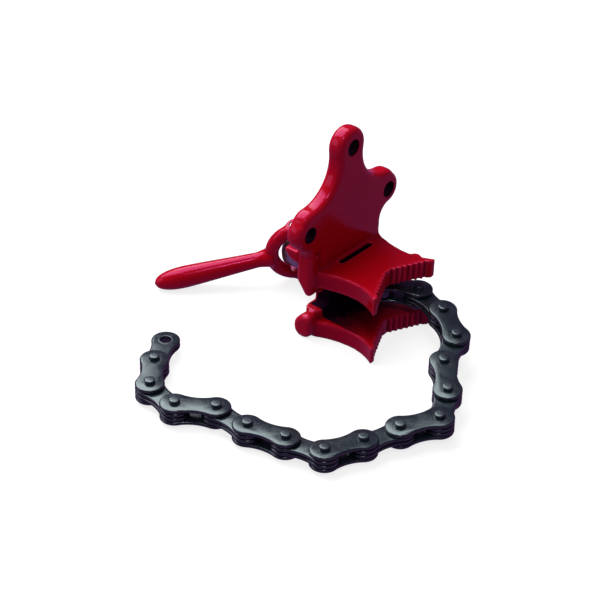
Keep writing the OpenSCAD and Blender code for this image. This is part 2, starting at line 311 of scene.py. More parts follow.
def bevel_where(
    obj: Object,
    width: float,
    segments: int,
    chosen: Callable[[Vector, Vector], bool],
    clamped: bool = True,
) -> Object:
    """Bevels the sharp edges that are chosen by the places of their two ends.

    Args:
        obj: The object to bevel.
        width: Width of the bevel, in millimetres.
        segments: Number of segments.
        chosen: Says whether an edge between two places, in millimetres, is bevelled.
        clamped: False where short edges along an arc must not hold the width back.

    Returns:
        The same object.
    """
    edit(obj, "EDGE", "DESELECT")
    bpy.ops.mesh.edges_select_sharp(sharpness=math.radians(SHARP_ANGLE))
    leave()
    vertices = obj.data.vertices
    for e in obj.data.edges:
        a, b = (vertices[i].co / MM for i in e.vertices)
        e.select = e.select and chosen(a, b)
    bpy.ops.object.mode_set(mode="EDIT")
    bpy.ops.mesh.bevel(offset=width * MM, segments=segments, affect="EDGES", clamp_overlap=clamped)
    leave()
    return obj


def settle(obj: Object, matrix: Matrix) -> Object:
    """Moves an object's mesh, so that the object itself stays at the origin.

    Args:
        obj: The object.
        matrix: The move.

    Returns:
        The same object.
    """
    obj.matrix_world = matrix @ obj.matrix_world
    pick(obj)
    bpy.ops.object.transform_apply(location=True, rotation=True, scale=True)
    return obj


def apply_modifier(obj: Object, name: str) -> None:
    """Applies one modifier of obj."""
    pick(obj)
    bpy.ops.object.modifier_apply(modifier=name)


def combine(obj: Object, other: Object, how: Cut) -> Object:
    """Joins, cuts or trims obj with another closed solid, which is used up.

    Args:
        obj: The solid that stays.
        other: The solid that is used up.
        how: What is done with it.

    Returns:
        The first solid, changed.
    """
    boolean = obj.modifiers.new("boolean", "BOOLEAN")
    boolean.operation = how.value
    boolean.solver = "MANIFOLD"
    boolean.object = other
    apply_modifier(obj, boolean.name)
    bpy.data.objects.remove(other)
    return obj


def join(name: str, parts: list[Object]) -> Object:
    """Makes several objects one object, without merging their walls.

    Args:
        name: Name of the joined object.
        parts: The objects, which are used up.

    Returns:
        The joined object.
    """
    pick(parts[0])
    for part in parts:
        part.select_set(True)
    bpy.ops.object.join()
    parts[0].name = name
    return parts[0]


def remesh(obj: Object, voxel: float) -> Object:
    """Merges overlapping walls into one even skin.

    Args:
        obj: The object.
        voxel: Size of the skin's mesh, in millimetres.

    Returns:
        The same object.
    """
    modifier = obj.modifiers.new("skin", "REMESH")
    modifier.mode = "VOXEL"
    modifier.voxel_size = voxel * MM
    apply_modifier(obj, modifier.name)
    return obj


def soften(obj: Object, rounds: int, weight: Callable[[np.ndarray], np.ndarray] | None) -> Object:
    """Smooths a skin, all over or by a weight.

    Args:
        obj: The object to smooth.
        rounds: Number of rounds.
        weight: Gives each place, in millimetres, a weight from 0 to 1, or None for all over.

    Returns:
        The same object.
    """
    modifier = obj.modifiers.new("soften", "SMOOTH")
    modifier.factor = 0.5
    modifier.iterations = rounds
    if weight is not None:
        group = obj.vertex_groups.new(name="soft")
        weights = np.clip(weight(places(obj) / MM), 0, 1)
        for level in np.unique(np.round(weights, 1)):
            if level > 0:
                chosen = np.nonzero(np.round(weights, 1) == level)[0]
                group.add(chosen.tolist(), float(level), "REPLACE")
        modifier.vertex_group = group.name
    apply_modifier(obj, modifier.name)
    obj.vertex_groups.clear()
    return obj


def places(obj: Object) -> np.ndarray:
    """Returns the places of all vertices, in metres, one row each."""
    co = np.zeros(len(obj.data.vertices) * 3, np.float32)
    obj.data.vertices.foreach_get("co", co)
    return co.reshape(-1, 3).astype(float)


def mark_edges(obj: Object) -> Object:
    """Writes how sharply the skin bends into two attributes that the paint reads.

    Attribute edge is 0 to 1 on outer edges, where the paint is lightened, part for wear and part as
    a painted highlight, and hollow is 0 to 1 in inner corners, where the paint is darkened as
    painted shade.

    Args:
        obj: An evenly meshed object.

    Returns:
        The same object.
    """
    mesh = obj.data
    co = places(obj)
    normals = np.zeros(len(co) * 3, np.float32)
    mesh.vertices.foreach_get("normal", normals)
    normals = normals.reshape(-1, 3)
    ends = np.zeros(len(mesh.edges) * 2, np.int32)
    mesh.edges.foreach_get("vertices", ends)
    a, b = ends.reshape(-1, 2).T
    count = np.maximum(np.bincount(a, minlength=len(co)) + np.bincount(b, minlength=len(co)), 1)
    lengths = np.linalg.norm(co[a] - co[b], axis=1)

    def gathered(at_a: np.ndarray, at_b: np.ndarray) -> np.ndarray:
        """Returns the mean of what the edges bring to each vertex from either end."""
        return (np.bincount(a, at_a, len(co)) + np.bincount(b, at_b, len(co))) / count

    near = np.stack([gathered(co[b, i], co[a, i]) for i in range(3)], axis=1)
    reach = np.maximum(gathered(lengths, lengths), 1e-7)
    bend = np.einsum("ij,ij->i", co - near, normals) / reach
    for _ in range(BEND_SPREAD):
        bend = (bend + gathered(bend[b], bend[a])) / 2
    # edge lightens the paint on outer edges as wear and painted highlight; hollow darkens inner
    # corners as painted shade
    for name, values in ((EDGE, bend), (PAINTED_SHADE, -bend * PAINTED_SHADE_SHARE)):
        attribute = mesh.attributes.new(name, "FLOAT", "POINT")
        attribute.data.foreach_set("value", np.clip(values * BEND_GAIN, 0, 1).astype(np.float32))
    return obj


def add_painted_shade(obj: Object, weight: Callable[[np.ndarray], np.ndarray]) -> Object:
    """Raises the hollow attribute, the painted shade, where a place is given shade, and lowers the
    edge attribute there.

    Args:
        obj: An object that has the attributes of mark_edges.
        weight: Gives each place, in millimetres, the least painted shade there, from 0 to 1.

    Returns:
        The same object.
    """
    least = np.clip(weight(places(obj) / MM), 0, 1)
    # hollow takes the painted shade, and the lighter edge paint is taken away where it lies
    for name, merge in ((PAINTED_SHADE, np.maximum), (EDGE, lambda old, new: old * (1 - new))):
        data = obj.data.attributes[name].data
        old = np.zeros(len(least), np.float32)
        data.foreach_get("value", old)
        data.foreach_set("value", merge(old, least).astype(np.float32))
    return obj


def smooth_shading(obj: Object, angle: float) -> Object:
    """Shades obj smooth except at edges sharper than this angle in degrees, and returns it."""
    pick(obj)
    bpy.ops.object.shade_smooth_by_angle(angle=math.radians(angle))
    return obj


def duplicate(obj: Object, name: str) -> Object:
    """Returns a copy of obj with a mesh of its own."""
    copy = obj.copy()
    copy.data = obj.data.copy()
    copy.name = name
    bpy.context.scene.collection.objects.link(copy)
    return copy


def turn(degrees: float, axis: str) -> Matrix:
    """Returns a turn about the X, Y or Z axis."""
    return Matrix.Rotation(math.radians(degrees), 4, axis)


def shift(x: float, y: float, z: float) -> Matrix:
    """Makes a move.

    Args:
        x: Millimetres along X.
        y: Millimetres along Y.
        z: Millimetres along Z.

    Returns:
        Its matrix, in metres.
    """
    return Matrix.Translation(Vector((x, y, z)) * MM)


# ---- Effects and finishes ---------------------------------------------------------------------


def opaque(color: Color) -> tuple[float, float, float, float]:
    """Returns a colour with full alpha."""
    return (*color, 1)


class NodeBench:
    """Adds nodes to one shader tree."""

    def __init__(self, tree: bpy.types.NodeTree) -> None:
        """Takes the tree that the nodes go into."""
        self.tree = tree

    def feed(self, node: bpy.types.Node, inputs: dict[str | int, Value]) -> bpy.types.Node:
        """Sets inputs of a node to constants or links them from sockets.

        Args:
            node: The node.
            inputs: A constant or a socket for each named or numbered input.

        Returns:
            The same node.
        """
        for name, value in inputs.items():
            if isinstance(value, Socket):
                self.tree.links.new(value, node.inputs[name])
            else:
                node.inputs[name].default_value = value
        return node

    def add(self, kind: str, inputs: dict[str | int, Value], **settings: object) -> bpy.types.Node:
        """Adds a node.

        Args:
            kind: The node's type.
            inputs: A constant or a socket for each input that isn't left at its default.
            **settings: The node's own settings.

        Returns:
            The node.
        """
        node = self.tree.nodes.new(kind)
        for name, value in settings.items():
            setattr(node, name, value)
        return self.feed(node, inputs)

    def math(self, operation: str, *values: Value) -> Socket:
        """Returns the result of a Math node."""
        return self.add("ShaderNodeMath", dict(enumerate(values)), operation=operation).outputs[0]

    def clamped(self, value: Socket) -> Socket:
        """Returns a value held between 0 and 1."""
        return self.math("MINIMUM", self.math("MAXIMUM", value, 0.0), 1.0)

    def noise(self, scale: Socket, detail: float, stretch: Color = (1.0, 1.0, 1.0)) -> Socket:
        """Adds a noise over Object coordinates.

        Args:
            scale: The socket that gives its scale.
            detail: Its detail.
            stretch: How much each axis is squeezed.

        Returns:
            The noise's value.
        """
        where = self.add("ShaderNodeTexCoord", {}).outputs["Object"]
        mapping = self.add("ShaderNodeMapping", {"Vector": where, "Scale": stretch})
        inputs = {"Vector": mapping.outputs["Vector"], "Scale": scale, "Detail": detail}
        return self.add("ShaderNodeTexNoise", {**inputs, "Roughness": 0.55}).outputs[0]

    def mix(self, mask: Socket, a: Value, b: Color) -> Socket:
        """Mixes a colour into another.

        Args:
            mask: Where the second colour shows.
            a: The first colour, opaque, or its socket.
            b: The second colour.

        Returns:
            The mixed colour.
        """
        inputs = {"Factor": mask, "A": a, "B": opaque(b)}
        return self.add("ShaderNodeMix", inputs, data_type="RGBA").outputs["Result"]

    def span(self, mask: Socket, low: float, high: float) -> Socket:
        """Maps a mask onto a range.

        Args:
            mask: The mask.
            low: Value where it is 0.
            high: Value where it is 1.

        Returns:
            The mapped value.
        """
        inputs = {"Value": mask, "To Min": low, "To Max": high}
        return self.add("ShaderNodeMapRange", inputs).outputs["Result"]

    def bump(self, height: Socket, depth: float) -> Socket:
        """Returns the normal of bumps, from their height and their depth in millimetres."""
        inputs = {"Height": height, "Distance": depth * MM, "Strength": 1.0}
        return self.add("ShaderNodeBump", inputs).outputs["Normal"]


class Effect(Enum):
    """Effects that several finishes share, each one node group."""

    CAST_SKIN = "cast_skin"
    WORN_EDGES = "worn_edges"
    OIL_FILM = "oil_film"
    TOOL_MARKS = "tool_marks"


class EffectShelf:
    """Builds each effect's node group once and hands it to the finishes."""

    def __init__(self) -> None:
        """Builds all the groups."""
        self.groups: dict[Effect, bpy.types.NodeTree] = {}
        self._cast_skin()
        self._edge_wear_and_painted_light()
        self._oil_film()
        self._tool_marks()

    def _open(
        self, effect: Effect, inputs: dict[str, float], outputs: list[str]
    ) -> tuple[NodeBench, Sockets, bpy.types.Node]:
        """Starts a group.

        Args:
            effect: The effect it is for.
            inputs: Its number inputs and their defaults.
            outputs: Its number outputs.

        Returns:
            The group's bench, the sockets of its inputs and its output node.
        """
        group = bpy.data.node_groups.new(effect.value, "ShaderNodeTree")
        for name, value in inputs.items():
            socket = group.interface.new_socket(name, in_out="INPUT", socket_type="NodeSocketFloat")
            socket.default_value = value
        for name in outputs:
            group.interface.new_socket(name, in_out="OUTPUT", socket_type="NodeSocketFloat")
        self.groups[effect] = group
        bench = NodeBench(group)
        return bench, bench.add("NodeGroupInput", {}).outputs, bench.add("NodeGroupOutput", {})

    def _cast_skin(self) -> None:
        """Lumps of a sand casting under thick enamel, and their slow change of tone."""
        names = {"Lump Scale": 90.0, "Grain Scale": 700.0, "Grain Share": 0.2}
        bench, given, out = self._open(Effect.CAST_SKIN, names, ["Height", "Tone"])
        lumps = bench.noise(given["Lump Scale"], 2.0)
        grain = bench.noise(given["Grain Scale"], 3.0)
        share = bench.math("MULTIPLY", grain, given["Grain Share"])
        slow = bench.math("MULTIPLY", given["Lump Scale"], 0.4)
        tone = bench.noise(slow, 3.0)
        bench.feed(out, {"Height": bench.math("ADD", lumps, share), "Tone": tone})

    def _edge_wear_and_painted_light(self) -> None:
        """Lighter outer edges, part wear and part painted highlight, and painted shade in the inner
        corners.
        """
        names = {"WearHighlight": 1.0, "ShadeGain": 1.2, "Break Scale": 260.0}
        bench, given, out = self._open(Effect.WORN_EDGES, names, ["WornHighlight", "PaintedShade"])
        broken = bench.noise(given["Break Scale"], 4.0)
        raised = bench.math("MULTIPLY_ADD", broken, 0.9, -0.35)
        for attribute, share, socket in ((EDGE, "WearHighlight", "WornHighlight"), (PAINTED_SHADE, "ShadeGain", "PaintedShade")):
            mark = bench.add("ShaderNodeAttribute", {}, attribute_name=attribute).outputs["Fac"]
            mixed = bench.math("MULTIPLY_ADD", raised, mark, mark)
            bench.feed(out, {socket: bench.clamped(bench.math("MULTIPLY", mixed, given[share]))})

    def _oil_film(self) -> None:
        """Patches of oil on dark steel, and fine pits."""
        names = {"Patch Scale": 140.0, "Pit Scale": 1500.0}
        bench, given, out = self._open(Effect.OIL_FILM, names, ["Oil", "Pits"])
        steep = bench.math("MULTIPLY_ADD", bench.noise(given["Patch Scale"], 4.0), 2.4, -0.75)
        bench.feed(out, {"Oil": bench.clamped(steep), "Pits": bench.noise(given["Pit Scale"], 2.0)})

    def _tool_marks(self) -> None:
        """Fine rings that a lathe leaves round the X axis."""
        bench, given, out = self._open(Effect.TOOL_MARKS, {"Ring Scale": 1800.0}, ["Rings"])
        bench.feed(out, {"Rings": bench.noise(given["Ring Scale"], 2.0, (1.0, 0.05, 0.05))})


@dataclass(frozen=True)
class Finish:
    """What every finish has: its name, the record's slot and how it is mixed."""

    name: str
    slot: str
    color: Color
    second_color: Color
    roughness: float
    roughness_change: float

    def _start(self) -> tuple[bpy.types.Material, NodeBench, bpy.types.Node]:
        """Returns a new material, its bench and its Principled shader."""
        material = bpy.data.materials.new(self.name)
        material.use_nodes = True
        material.diffuse_color = opaque(self.color)
        tree = material.node_tree
        return material, NodeBench(tree), tree.nodes["Principled BSDF"]

    def _tone(self, bench: NodeBench, mask: Socket) -> Socket:
        """Returns the two colours mixed by a mask."""
        return bench.mix(mask, opaque(self.color), self.second_color)

    def _dullness(self, bench: NodeBench, mask: Socket) -> Socket:
        """Returns the roughness, which a mask changes."""
        return bench.span(mask, self.roughness, self.roughness + self.roughness_change)


def effect_of(
    shelf: EffectShelf, bench: NodeBench, effect: Effect, values: dict[str, float]
) -> Sockets:
    """Places an effect's group in a material.

    Args:
        shelf: The shelf that holds the groups.
        bench: The material's bench.
        effect: Which effect.
        values: The values of its inputs.

    Returns:
        The outputs of the group.
    """
    node = bench.add("ShaderNodeGroup", {}, node_tree=shelf.groups[effect])
    return bench.feed(node, values).outputs


@dataclass(frozen=True)
class Enamel(Finish):
    """Thick glossy enamel over a rough casting or forging, lightened on edges as wear and painted
    highlight and darkened in hollows as painted shade.
    """

    # Lighter red of the outer edges: part wear, part painted highlight.
    worn_highlight_color: Color = (0.55, 0.01, 0.035)
    # Near black painted shade in inner corners, holes, slots and the jaws' gap, made rough and dull
    # there.
    painted_shade_color: Color = (0.009, 0.001, 0.008)
    painted_shade_roughness: float = 0.75
    gloss: float = 0.5
    painted_shade_gloss: float = 0.05
    gloss_tint: Color = (1.0, 0.15, 0.6)
    lump_scale: float = 70.0
    lump_depth: float = 0.16
    grain_scale: float = 420.0
    grain_share: float = 0.45
    wear_and_painted_light: float = 0.8
    break_scale: float = 300.0

    def build(self, shelf: EffectShelf) -> bpy.types.Material:
        """Builds the material.

        Args:
            shelf: The shelf that holds the effects.

        Returns:
            The material.
        """
        material, bench, shader = self._start()
        lumps = {"Lump Scale": self.lump_scale, "Grain Scale": self.grain_scale}
        lumps["Grain Share"] = self.grain_share
        skin = effect_of(shelf, bench, Effect.CAST_SKIN, lumps)
        wear_highlight_inputs = {"WearHighlight": self.wear_and_painted_light, "Break Scale": self.break_scale}
        wear_and_painted_light = effect_of(shelf, bench, Effect.WORN_EDGES, wear_highlight_inputs)
        tone = self._tone(bench, skin["Tone"])
        # Outer edges are lightened as wear and painted highlight; hollows take the painted shade's
        # colour, roughness and dullness.
        worn_highlit = bench.mix(wear_and_painted_light["WornHighlight"], tone, self.worn_highlight_color)
        dull = bench.span(wear_and_painted_light["PaintedShade"], 0.0, self.painted_shade_roughness)
        inputs = {
            "Base Color": bench.mix(wear_and_painted_light["PaintedShade"], worn_highlit, self.painted_shade_color),
            "Roughness": bench.math("MAXIMUM", self._dullness(bench, skin["Tone"]), dull),
            "Specular IOR Level": bench.span(wear_and_painted_light["PaintedShade"], self.gloss, self.painted_shade_gloss),
            "Specular Tint": opaque(self.gloss_tint),
            "Normal": bench.bump(skin["Height"], self.lump_depth),
        }
        bench.feed(shader, inputs)
        return material


@dataclass(frozen=True)
class OiledSteel(Finish):
    """Dark oiled steel of the chain."""

    gloss: float = 0.9
    gloss_tint: Color = (0.8, 1.0, 1.0)
    patch_scale: float = 160.0
    pit_scale: float = 1400.0
    pit_depth: float = 0.006

    def build(self, shelf: EffectShelf) -> bpy.types.Material:
        """Builds the material.

        Args:
            shelf: The shelf that holds the effects.

        Returns:
            The material.
        """
        material, bench, shader = self._start()
        patches = {"Patch Scale": self.patch_scale, "Pit Scale": self.pit_scale}
        film = effect_of(shelf, bench, Effect.OIL_FILM, patches)
        inputs = {
            "Base Color": self._tone(bench, film["Oil"]),
            "Roughness": self._dullness(bench, film["Oil"]),
            "Specular IOR Level": self.gloss,
            "Specular Tint": opaque(self.gloss_tint),
            "Normal": bench.bump(film["Pits"], self.pit_depth),
        }
        bench.feed(shader, inputs)
        return material


@dataclass(frozen=True)
class TurnedSteel(Finish):
    """Steel with the fine rings of a lathe."""

    metallic: float = 0.9
    patch_scale: float = 120.0
    ring_scale: float = 1800.0
    mark_depth: float = 0.015

    def build(self, shelf: EffectShelf) -> bpy.types.Material:
        """Builds the material.

        Args:
            shelf: The shelf that holds the effects.

        Returns:
            The material.
        """
        material, bench, shader = self._start()
        marks = effect_of(shelf, bench, Effect.TOOL_MARKS, {"Ring Scale": self.ring_scale})
        film = effect_of(shelf, bench, Effect.OIL_FILM, {"Patch Scale": self.patch_scale})
        inputs = {
            "Base Color": self._tone(bench, film["Oil"]),
            "Roughness": self._dullness(bench, marks["Rings"]),
            "Metallic": self.metallic,
            "Normal": bench.bump(marks["Rings"], self.mark_depth),
        }
        bench.feed(shader, inputs)
        return material


RED_ENAMEL = Enamel(
    name="red_enamel",
    slot="red_paint",
    color=(0.36, 0.0008, 0.004),
    second_color=(0.47, 0.0014, 0.008),
    roughness=0.1,
    roughness_change=0.12,
)
PLATE_STEEL = OiledSteel(
    name="oiled_plate_steel",
    slot="chain_steel",
    color=(0.009, 0.014, 0.021),
    second_color=(0.016, 0.024, 0.034),
    roughness=0.16,
    roughness_change=0.1,
)
PIN_STEEL = OiledSteel(
    name="oiled_pin_steel",
    slot="pin_steel",
    color=(0.012, 0.018, 0.028),
    second_color=(0.022, 0.03, 0.042),
    roughness=0.2,
    roughness_change=0.1,
)
BLACK_SCREW_STEEL = TurnedSteel(
    name="blackened_screw_steel",
    slot="screw_steel",
    color=(0.07, 0.072, 0.08),
    second_color=(0.14, 0.14, 0.15),
    roughness=0.3,
    roughness_change=0.15,
)
BRIGHT_NUT_STEEL = TurnedSteel(
    name="bright_nut_steel",
    slot="nut_steel",
    color=(0.3, 0.3, 0.31),
    second_color=(0.42, 0.42, 0.43),
    roughness=0.26,
    roughness_change=0.16,
)


class Paintshop:
    """Keeps one material for each finish and puts finished pieces on their bodies."""

    def __init__(self) -> None:
        """Builds the shared effects."""
        self.shelf = EffectShelf()
        self.materials: dict[str, bpy.types.Material] = {}

    def deliver(self, piece: Object, finish: Finish, body: str, nodes: list[str]) -> None:
        """Dresses a piece, puts it on its body and lets it stand for its CAD nodes.

        Args:
            piece: The finished mesh, in place.
            finish: Its finish.
            body: The CAD body that it rides on.
            nodes: The CAD nodes that it stands for.
        """
        if finish.name not in self.materials:
            self.materials[finish.name] = finish.build(self.shelf)
        piece.data.materials.clear()
        piece.data.materials.append(self.materials[finish.name])
        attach(piece, body)
        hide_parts(*nodes)
        co = places(piece)
        low = co.min(axis=0) - np.min([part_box(n)[0] for n in nodes], axis=0)
        high = co.max(axis=0) - np.max([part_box(n)[1] for n in nodes], axis=0)
        off = max(np.abs(low).max(), np.abs(high).max()) / MM
        faces = len(piece.data.polygons)
        log.info("%s rides on %s, %d faces, box off by %.2f mm", piece.name, body, faces, off)


# ---- The casting ------------------------------------------------------------------------------


@dataclass(frozen=True)
class Casting:
    """The cast body: flange, jaws, ears, lip and screw housing."""

    bolt_spacing: float = 79.4
    bolt_hole_d: float = 10.5
    top_hole_rise: float = 46.3
    foot: float = -80.5
    flange_t: float = 12.0
    side_lobe_r: float = 11.3
    top_lobe_r: float = 13.0
    shoulder_r: float = 11.5
    shoulder_in: float = 3.5
    waist_r: float = 24.8
    under_lobe_r: float = 9.2
    plain_side: float = 34.0
    ear_side: float = 39.0
    front_round: float = 4.2
    back_round: float = 1.4

    jaw_height: float = 50.0
    jaw_t: float = 12.2
    jaw_reach: float = 46.2
    jaw_waist: float = 26.5
    jaw_waist_at: float = 26.0
    jaw_side_r: float = 55.0
    jaw_tip_r: float = 36.0
    jaw_edge: float = 1.9
    tip_round: float = 2.0
    tip_swell: float = 1.2
    mouth_depth: float = 13.7
    mouth_flat: float = 1.2
    mouth_half: float = 30.3
    tooth_pitch: float = 3.6
    tooth_depth: float = 1.6
    nib: float = 2.6
    slot_length: float = 33.0
    slot_w: float = 4.0
    slot_at: float = 3.5
    slot_web: float = 1.0
    lump_r: float = 4.5
    lump_edge: float = 1.6
    lump_back: float = 12.0
    lump_in: float = 0.6

    ear_block: float = 9.0
    ear_slant: float = 10.0
    ear_point: float = 3.0
    ear_round: float = 5.5
    ear_back: float = 1.5
    notch_w: float = 14.0
    notch_depth: float = 21.0
    notch_flare: float = 1.6
    lip_reach: float = 10.3
    lip_drop: float = 17.2
    lip_h: float = 8.4
    lip_corners: tuple[Point, ...] = ((1, 0), (0, 1), (0.4, 2.4), (2.6, 5), (5.4, 7.4))
    lip_round: float = 1.0

    screw_y: float = 12.0
    housing_depth: float = 27.0
    housing_w: float = 34.0
    housing_h: float = 30.0
    housing_round: float = 5.0
    housing_end_round: float = 1.8
    end_wall: float = 7.0
    passage_h: float = 19.4
    passage_w: float = 24.0
    mouth_w: float = 32.0
    guide_r: float = 8.4

    edge_round: float = 3.4
    core_round: float = 1.5
    hole_rim: float = 0.5
    past: float = 2.0
    voxel: float = 0.72
    root_rounds: int = 30
    skin_rounds: int = 5
    mouth_softness: float = 0.4
    root_reach: float = 4.5
    # Painted shade in the slots and in the jaws' gap, which fades out towards the jaws' tips.
    slot_shade: float = 0.8
    gap_shade: float = 0.95
    gap_fade: float = 46.0

    @property
    def middle(self) -> float:
        """Returns the height of the middle between the jaws."""
        return self.foot + self.jaw_height / 2

    @property
    def ear_slope_z(self) -> float:
        """Returns the height at which the upper ear begins to narrow to its point."""
        return self.middle + self.notch_w / 2 + self.notch_flare / 2 + self.ear_slant

    @property
    def jaw_tip(self) -> float:
        """Returns how far out the jaws reach."""
        return self.flange_t + self.jaw_reach

    def _half_outline(self, reach: float) -> list[Point]:
        """Half of the flange's outline.

        Args:
            reach: How far out its side runs down.

        Returns:
            Points on the +Y side, from the side's top up to the top lobe.
        """
        hole = (self.bolt_spacing / 2, 0.0)
        top = (0.0, self.top_hole_rise)
        shoulder = (hole[0] - self.shoulder_in, self.shoulder_in)
        dy = reach + self.under_lobe_r - hole[0]
        both = self.side_lobe_r + self.under_lobe_r
        hollow = (reach + self.under_lobe_r, -math.sqrt(both**2 - dy**2))
        a, b = Vector(top), Vector(shoulder)
        gap = (b - a).length
        u = (b - a) / gap
        ra, rb = self.top_lobe_r + self.waist_r, self.shoulder_r + self.waist_r
        along = (ra**2 - rb**2 + gap**2) / (2 * gap)
        waist_v = a + u * along + Vector((-u.y, u.x)) * math.sqrt(ra**2 - along**2)
        waist = (waist_v.x, waist_v.y)
        cross = self._crossing(hole, self.side_lobe_r, shoulder, self.shoulder_r)
        into_lobe = bearing(hollow, hole)
        into_waist = bearing(shoulder, waist)
        into_top = bearing(waist, top)
        return [
            *arc(hollow, self.under_lobe_r, 180, into_lobe, 16),
            *arc(hole, self.side_lobe_r, into_lobe - 180, bearing(hole, cross), 36)[1:],
            *arc(shoulder, self.shoulder_r, bearing(shoulder, cross), into_waist, 16)[1:],
            *arc(waist, self.waist_r, into_waist + 180, into_top, 40)[1:],
            *arc(top, self.top_lobe_r, into_top - 180, 90, 28)[1:],
        ]

    @staticmethod
    def _crossing(a: Point, ra: float, b: Point, rb: float) -> Point:
        """Where two circles cross, on the outer side.

        Args:
            a: First centre.
            ra: First radius.
            b: Second centre.
            rb: Second radius.

        Returns:
            The crossing point with the larger reach.
        """
        va, vb = Vector(a), Vector(b)
        gap = (vb - va).length
        u = (vb - va) / gap
        along = (ra**2 - rb**2 + gap**2) / (2 * gap)
        rise = math.sqrt(ra**2 - along**2)
        ends = [va + u * along + Vector((-u.y, u.x)) * rise * s for s in (-1, 1)]
        best = max(ends, key=lambda p: p.x)
        return best.x, best.y

    def _flange(self) -> Object:
        """Returns the flange, with its front edge well rounded."""
        right = self._half_outline(self.plain_side)
        left = mirrored(self._half_outline(self.ear_side))
        step_in = -self.ear_side + self.ear_block
        outline = [
            (step_in, self.foot),
            (self.plain_side, self.foot),
            *right,
            *left[1:],
            (step_in, left[-1][1]),
        ]
        flange = prism("flange", outline, Plane.FRONT, 0, self.flange_t)
        front = self.flange_t - NEAR
        above = self.middle + self.jaw_height / 2 + 1

        def on_front(a: Vector, b: Vector) -> bool:
            """Returns whether an edge runs round the front face above the jaws."""
            return min(a.x, b.x) > front and max(a.z, b.z) > above

        bevel_where(flange, self.front_round, 5, on_front, False)
        return bevel_where(flange, self.back_round, 2, lambda a, b: max(a.x, b.x) < NEAR, False)

    def _jaw_side(self) -> list[Point]:
        """Returns one hollow side of the jaw's outline, from its root to its tip."""
        x = self.flange_t + self.jaw_waist_at
        side = (x, self.jaw_waist + self.jaw_side_r)
        tip = (x, self.jaw_waist + self.jaw_tip_r)
        start = -math.degrees(math.acos((self.flange_t - x) / self.jaw_side_r))
        end = -math.degrees(math.acos((self.jaw_tip - x) / self.jaw_tip_r))
        return [
            *arc(side, self.jaw_side_r, start, -90, 12),
            *arc(tip, self.jaw_tip_r, -90, end, 12)[1:],
        ]

    def _jaw(self, bottom: float) -> Object:
        """One jaw, a little thicker at its tips, before its notch is cut.

        Args:
            bottom: Height of its underside.

        Returns:
            The jaw.
        """
        root, tip = self.flange_t - 3, self.jaw_tip
        side = self._jaw_side()
        half = [(root, side[0][1]), *side]
        outline = [*half, *mirrored_across(half)]
        jaw = prism("jaw", outline, Plane.TOP, bottom, bottom + self.jaw_t)

        def at_tip(a: Vector, b: Vector) -> bool:
            """Returns whether an edge stands at one of the tip's outer corners."""
            return min(a.x, b.x) > tip - NEAR and abs(a.z - b.z) > 1

        bevel_where(jaw, self.tip_round, 4, at_tip)
        bevel_where(jaw, self.jaw_edge, 3, lambda a, b: max(a.x, b.x) > root + 0.5)
        start = self.flange_t + self.jaw_waist_at
        middle = bottom + self.jaw_t / 2
        for vertex in jaw.data.vertices:
            x, _, z = vertex.co / MM
            share = max(0.0, (x - start) / (tip - start)) ** 2
            if z < middle and bottom > self.foot:
                vertex.co.z -= self.tip_swell * share * MM
        return jaw

    def _upper_ear(self) -> Object:
        """Returns the upper ear, which narrows to a point at the front of its underside."""
        foot = self.ear_slope_z - self.ear_slant
        t, r, top = self.flange_t, self.ear_point, -self.lip_drop
        outline = [
            (0, top),
            (0, foot + self.ear_slant),
            *arc((t - r, foot + r), r, 226, 360, 8),
            (t, top),
        ]
        return self._ear("upper_ear", outline)

    def _lower_ear(self) -> Object:
        """Returns the lower ear, a rounded knob whose top is cut back at the rear."""
        r, foot = self.ear_round, self.foot
        back, t = -self.ear_back, self.flange_t
        top = self.middle - self.notch_w / 2 - self.notch_flare / 2
        outline = [
            *arc((back + r + 1, foot + r + 1), r + 1, 180, 270, 8),
            *arc((t - r, foot + r), r, 270, 360, 6),
            *arc((t - 3, top - 3), 3, 0, 90, 4),
            (back + r + 0.5, top),
            (back, top - r - 0.5),
        ]
        return self._ear("lower_ear", outline)

    def _ear(self, name: str, outline: list[Point]) -> Object:
        """One ear with its side face well rounded.

        Args:
            name: Name of the ear.
            outline: Its outline, seen along the flange.

        Returns:
            The ear.
        """
        face = -self.ear_side
        ear = prism(name, outline, Plane.SIDE, face, face + self.ear_block + 1)
        return bevel_where(ear, self.edge_round, 4, lambda a, b: max(a.y, b.y) < face + NEAR)

    def _lip(self) -> Object:
        """Returns the lip behind the flange, tapering down into its back."""
        top = -self.lip_drop
        rear = [(back - self.lip_reach, top - down) for back, down in self.lip_corners]
        outline = [(1.0, top), *rear, (1.0, top - self.lip_h)]
        lip = prism("lip", outline, Plane.SIDE, -self.ear_side, self.plain_side)
        return bevel_where(lip, self.lip_round, 2, lambda a, b: abs(a.y - b.y) < NEAR)

    def _housing(self) -> Object:
        """Returns the screw housing behind the flange."""
        half_w, half_h = self.housing_w / 2, self.housing_h / 2
        deselect()
        middle = Vector((-self.housing_depth / 2 + 1, self.screw_y, self.middle)) * MM
        size = Vector((self.housing_depth + 2, self.housing_w, self.housing_h)) * MM
        bpy.ops.mesh.primitive_cube_add(size=1, location=middle, scale=size)
        housing = settle(bpy.context.object, Matrix.Identity(4))
        y, z = self.screw_y, self.middle

        def lengthwise(a: Vector, b: Vector) -> bool:
            """Returns whether an edge runs along the screw."""
            at_corner = abs(abs(a.y - y) - half_w) < 0.1 and abs(abs(a.z - z) - half_h) < 0.1
            return abs(a.x - b.x) > 1 and at_corner

        bevel_where(housing, self.housing_round, 5, lengthwise)
        rear = NEAR - self.housing_depth
        width = self.housing_end_round
        return bevel_where(housing, width, 3, lambda a, b: max(a.x, b.x) < rear)

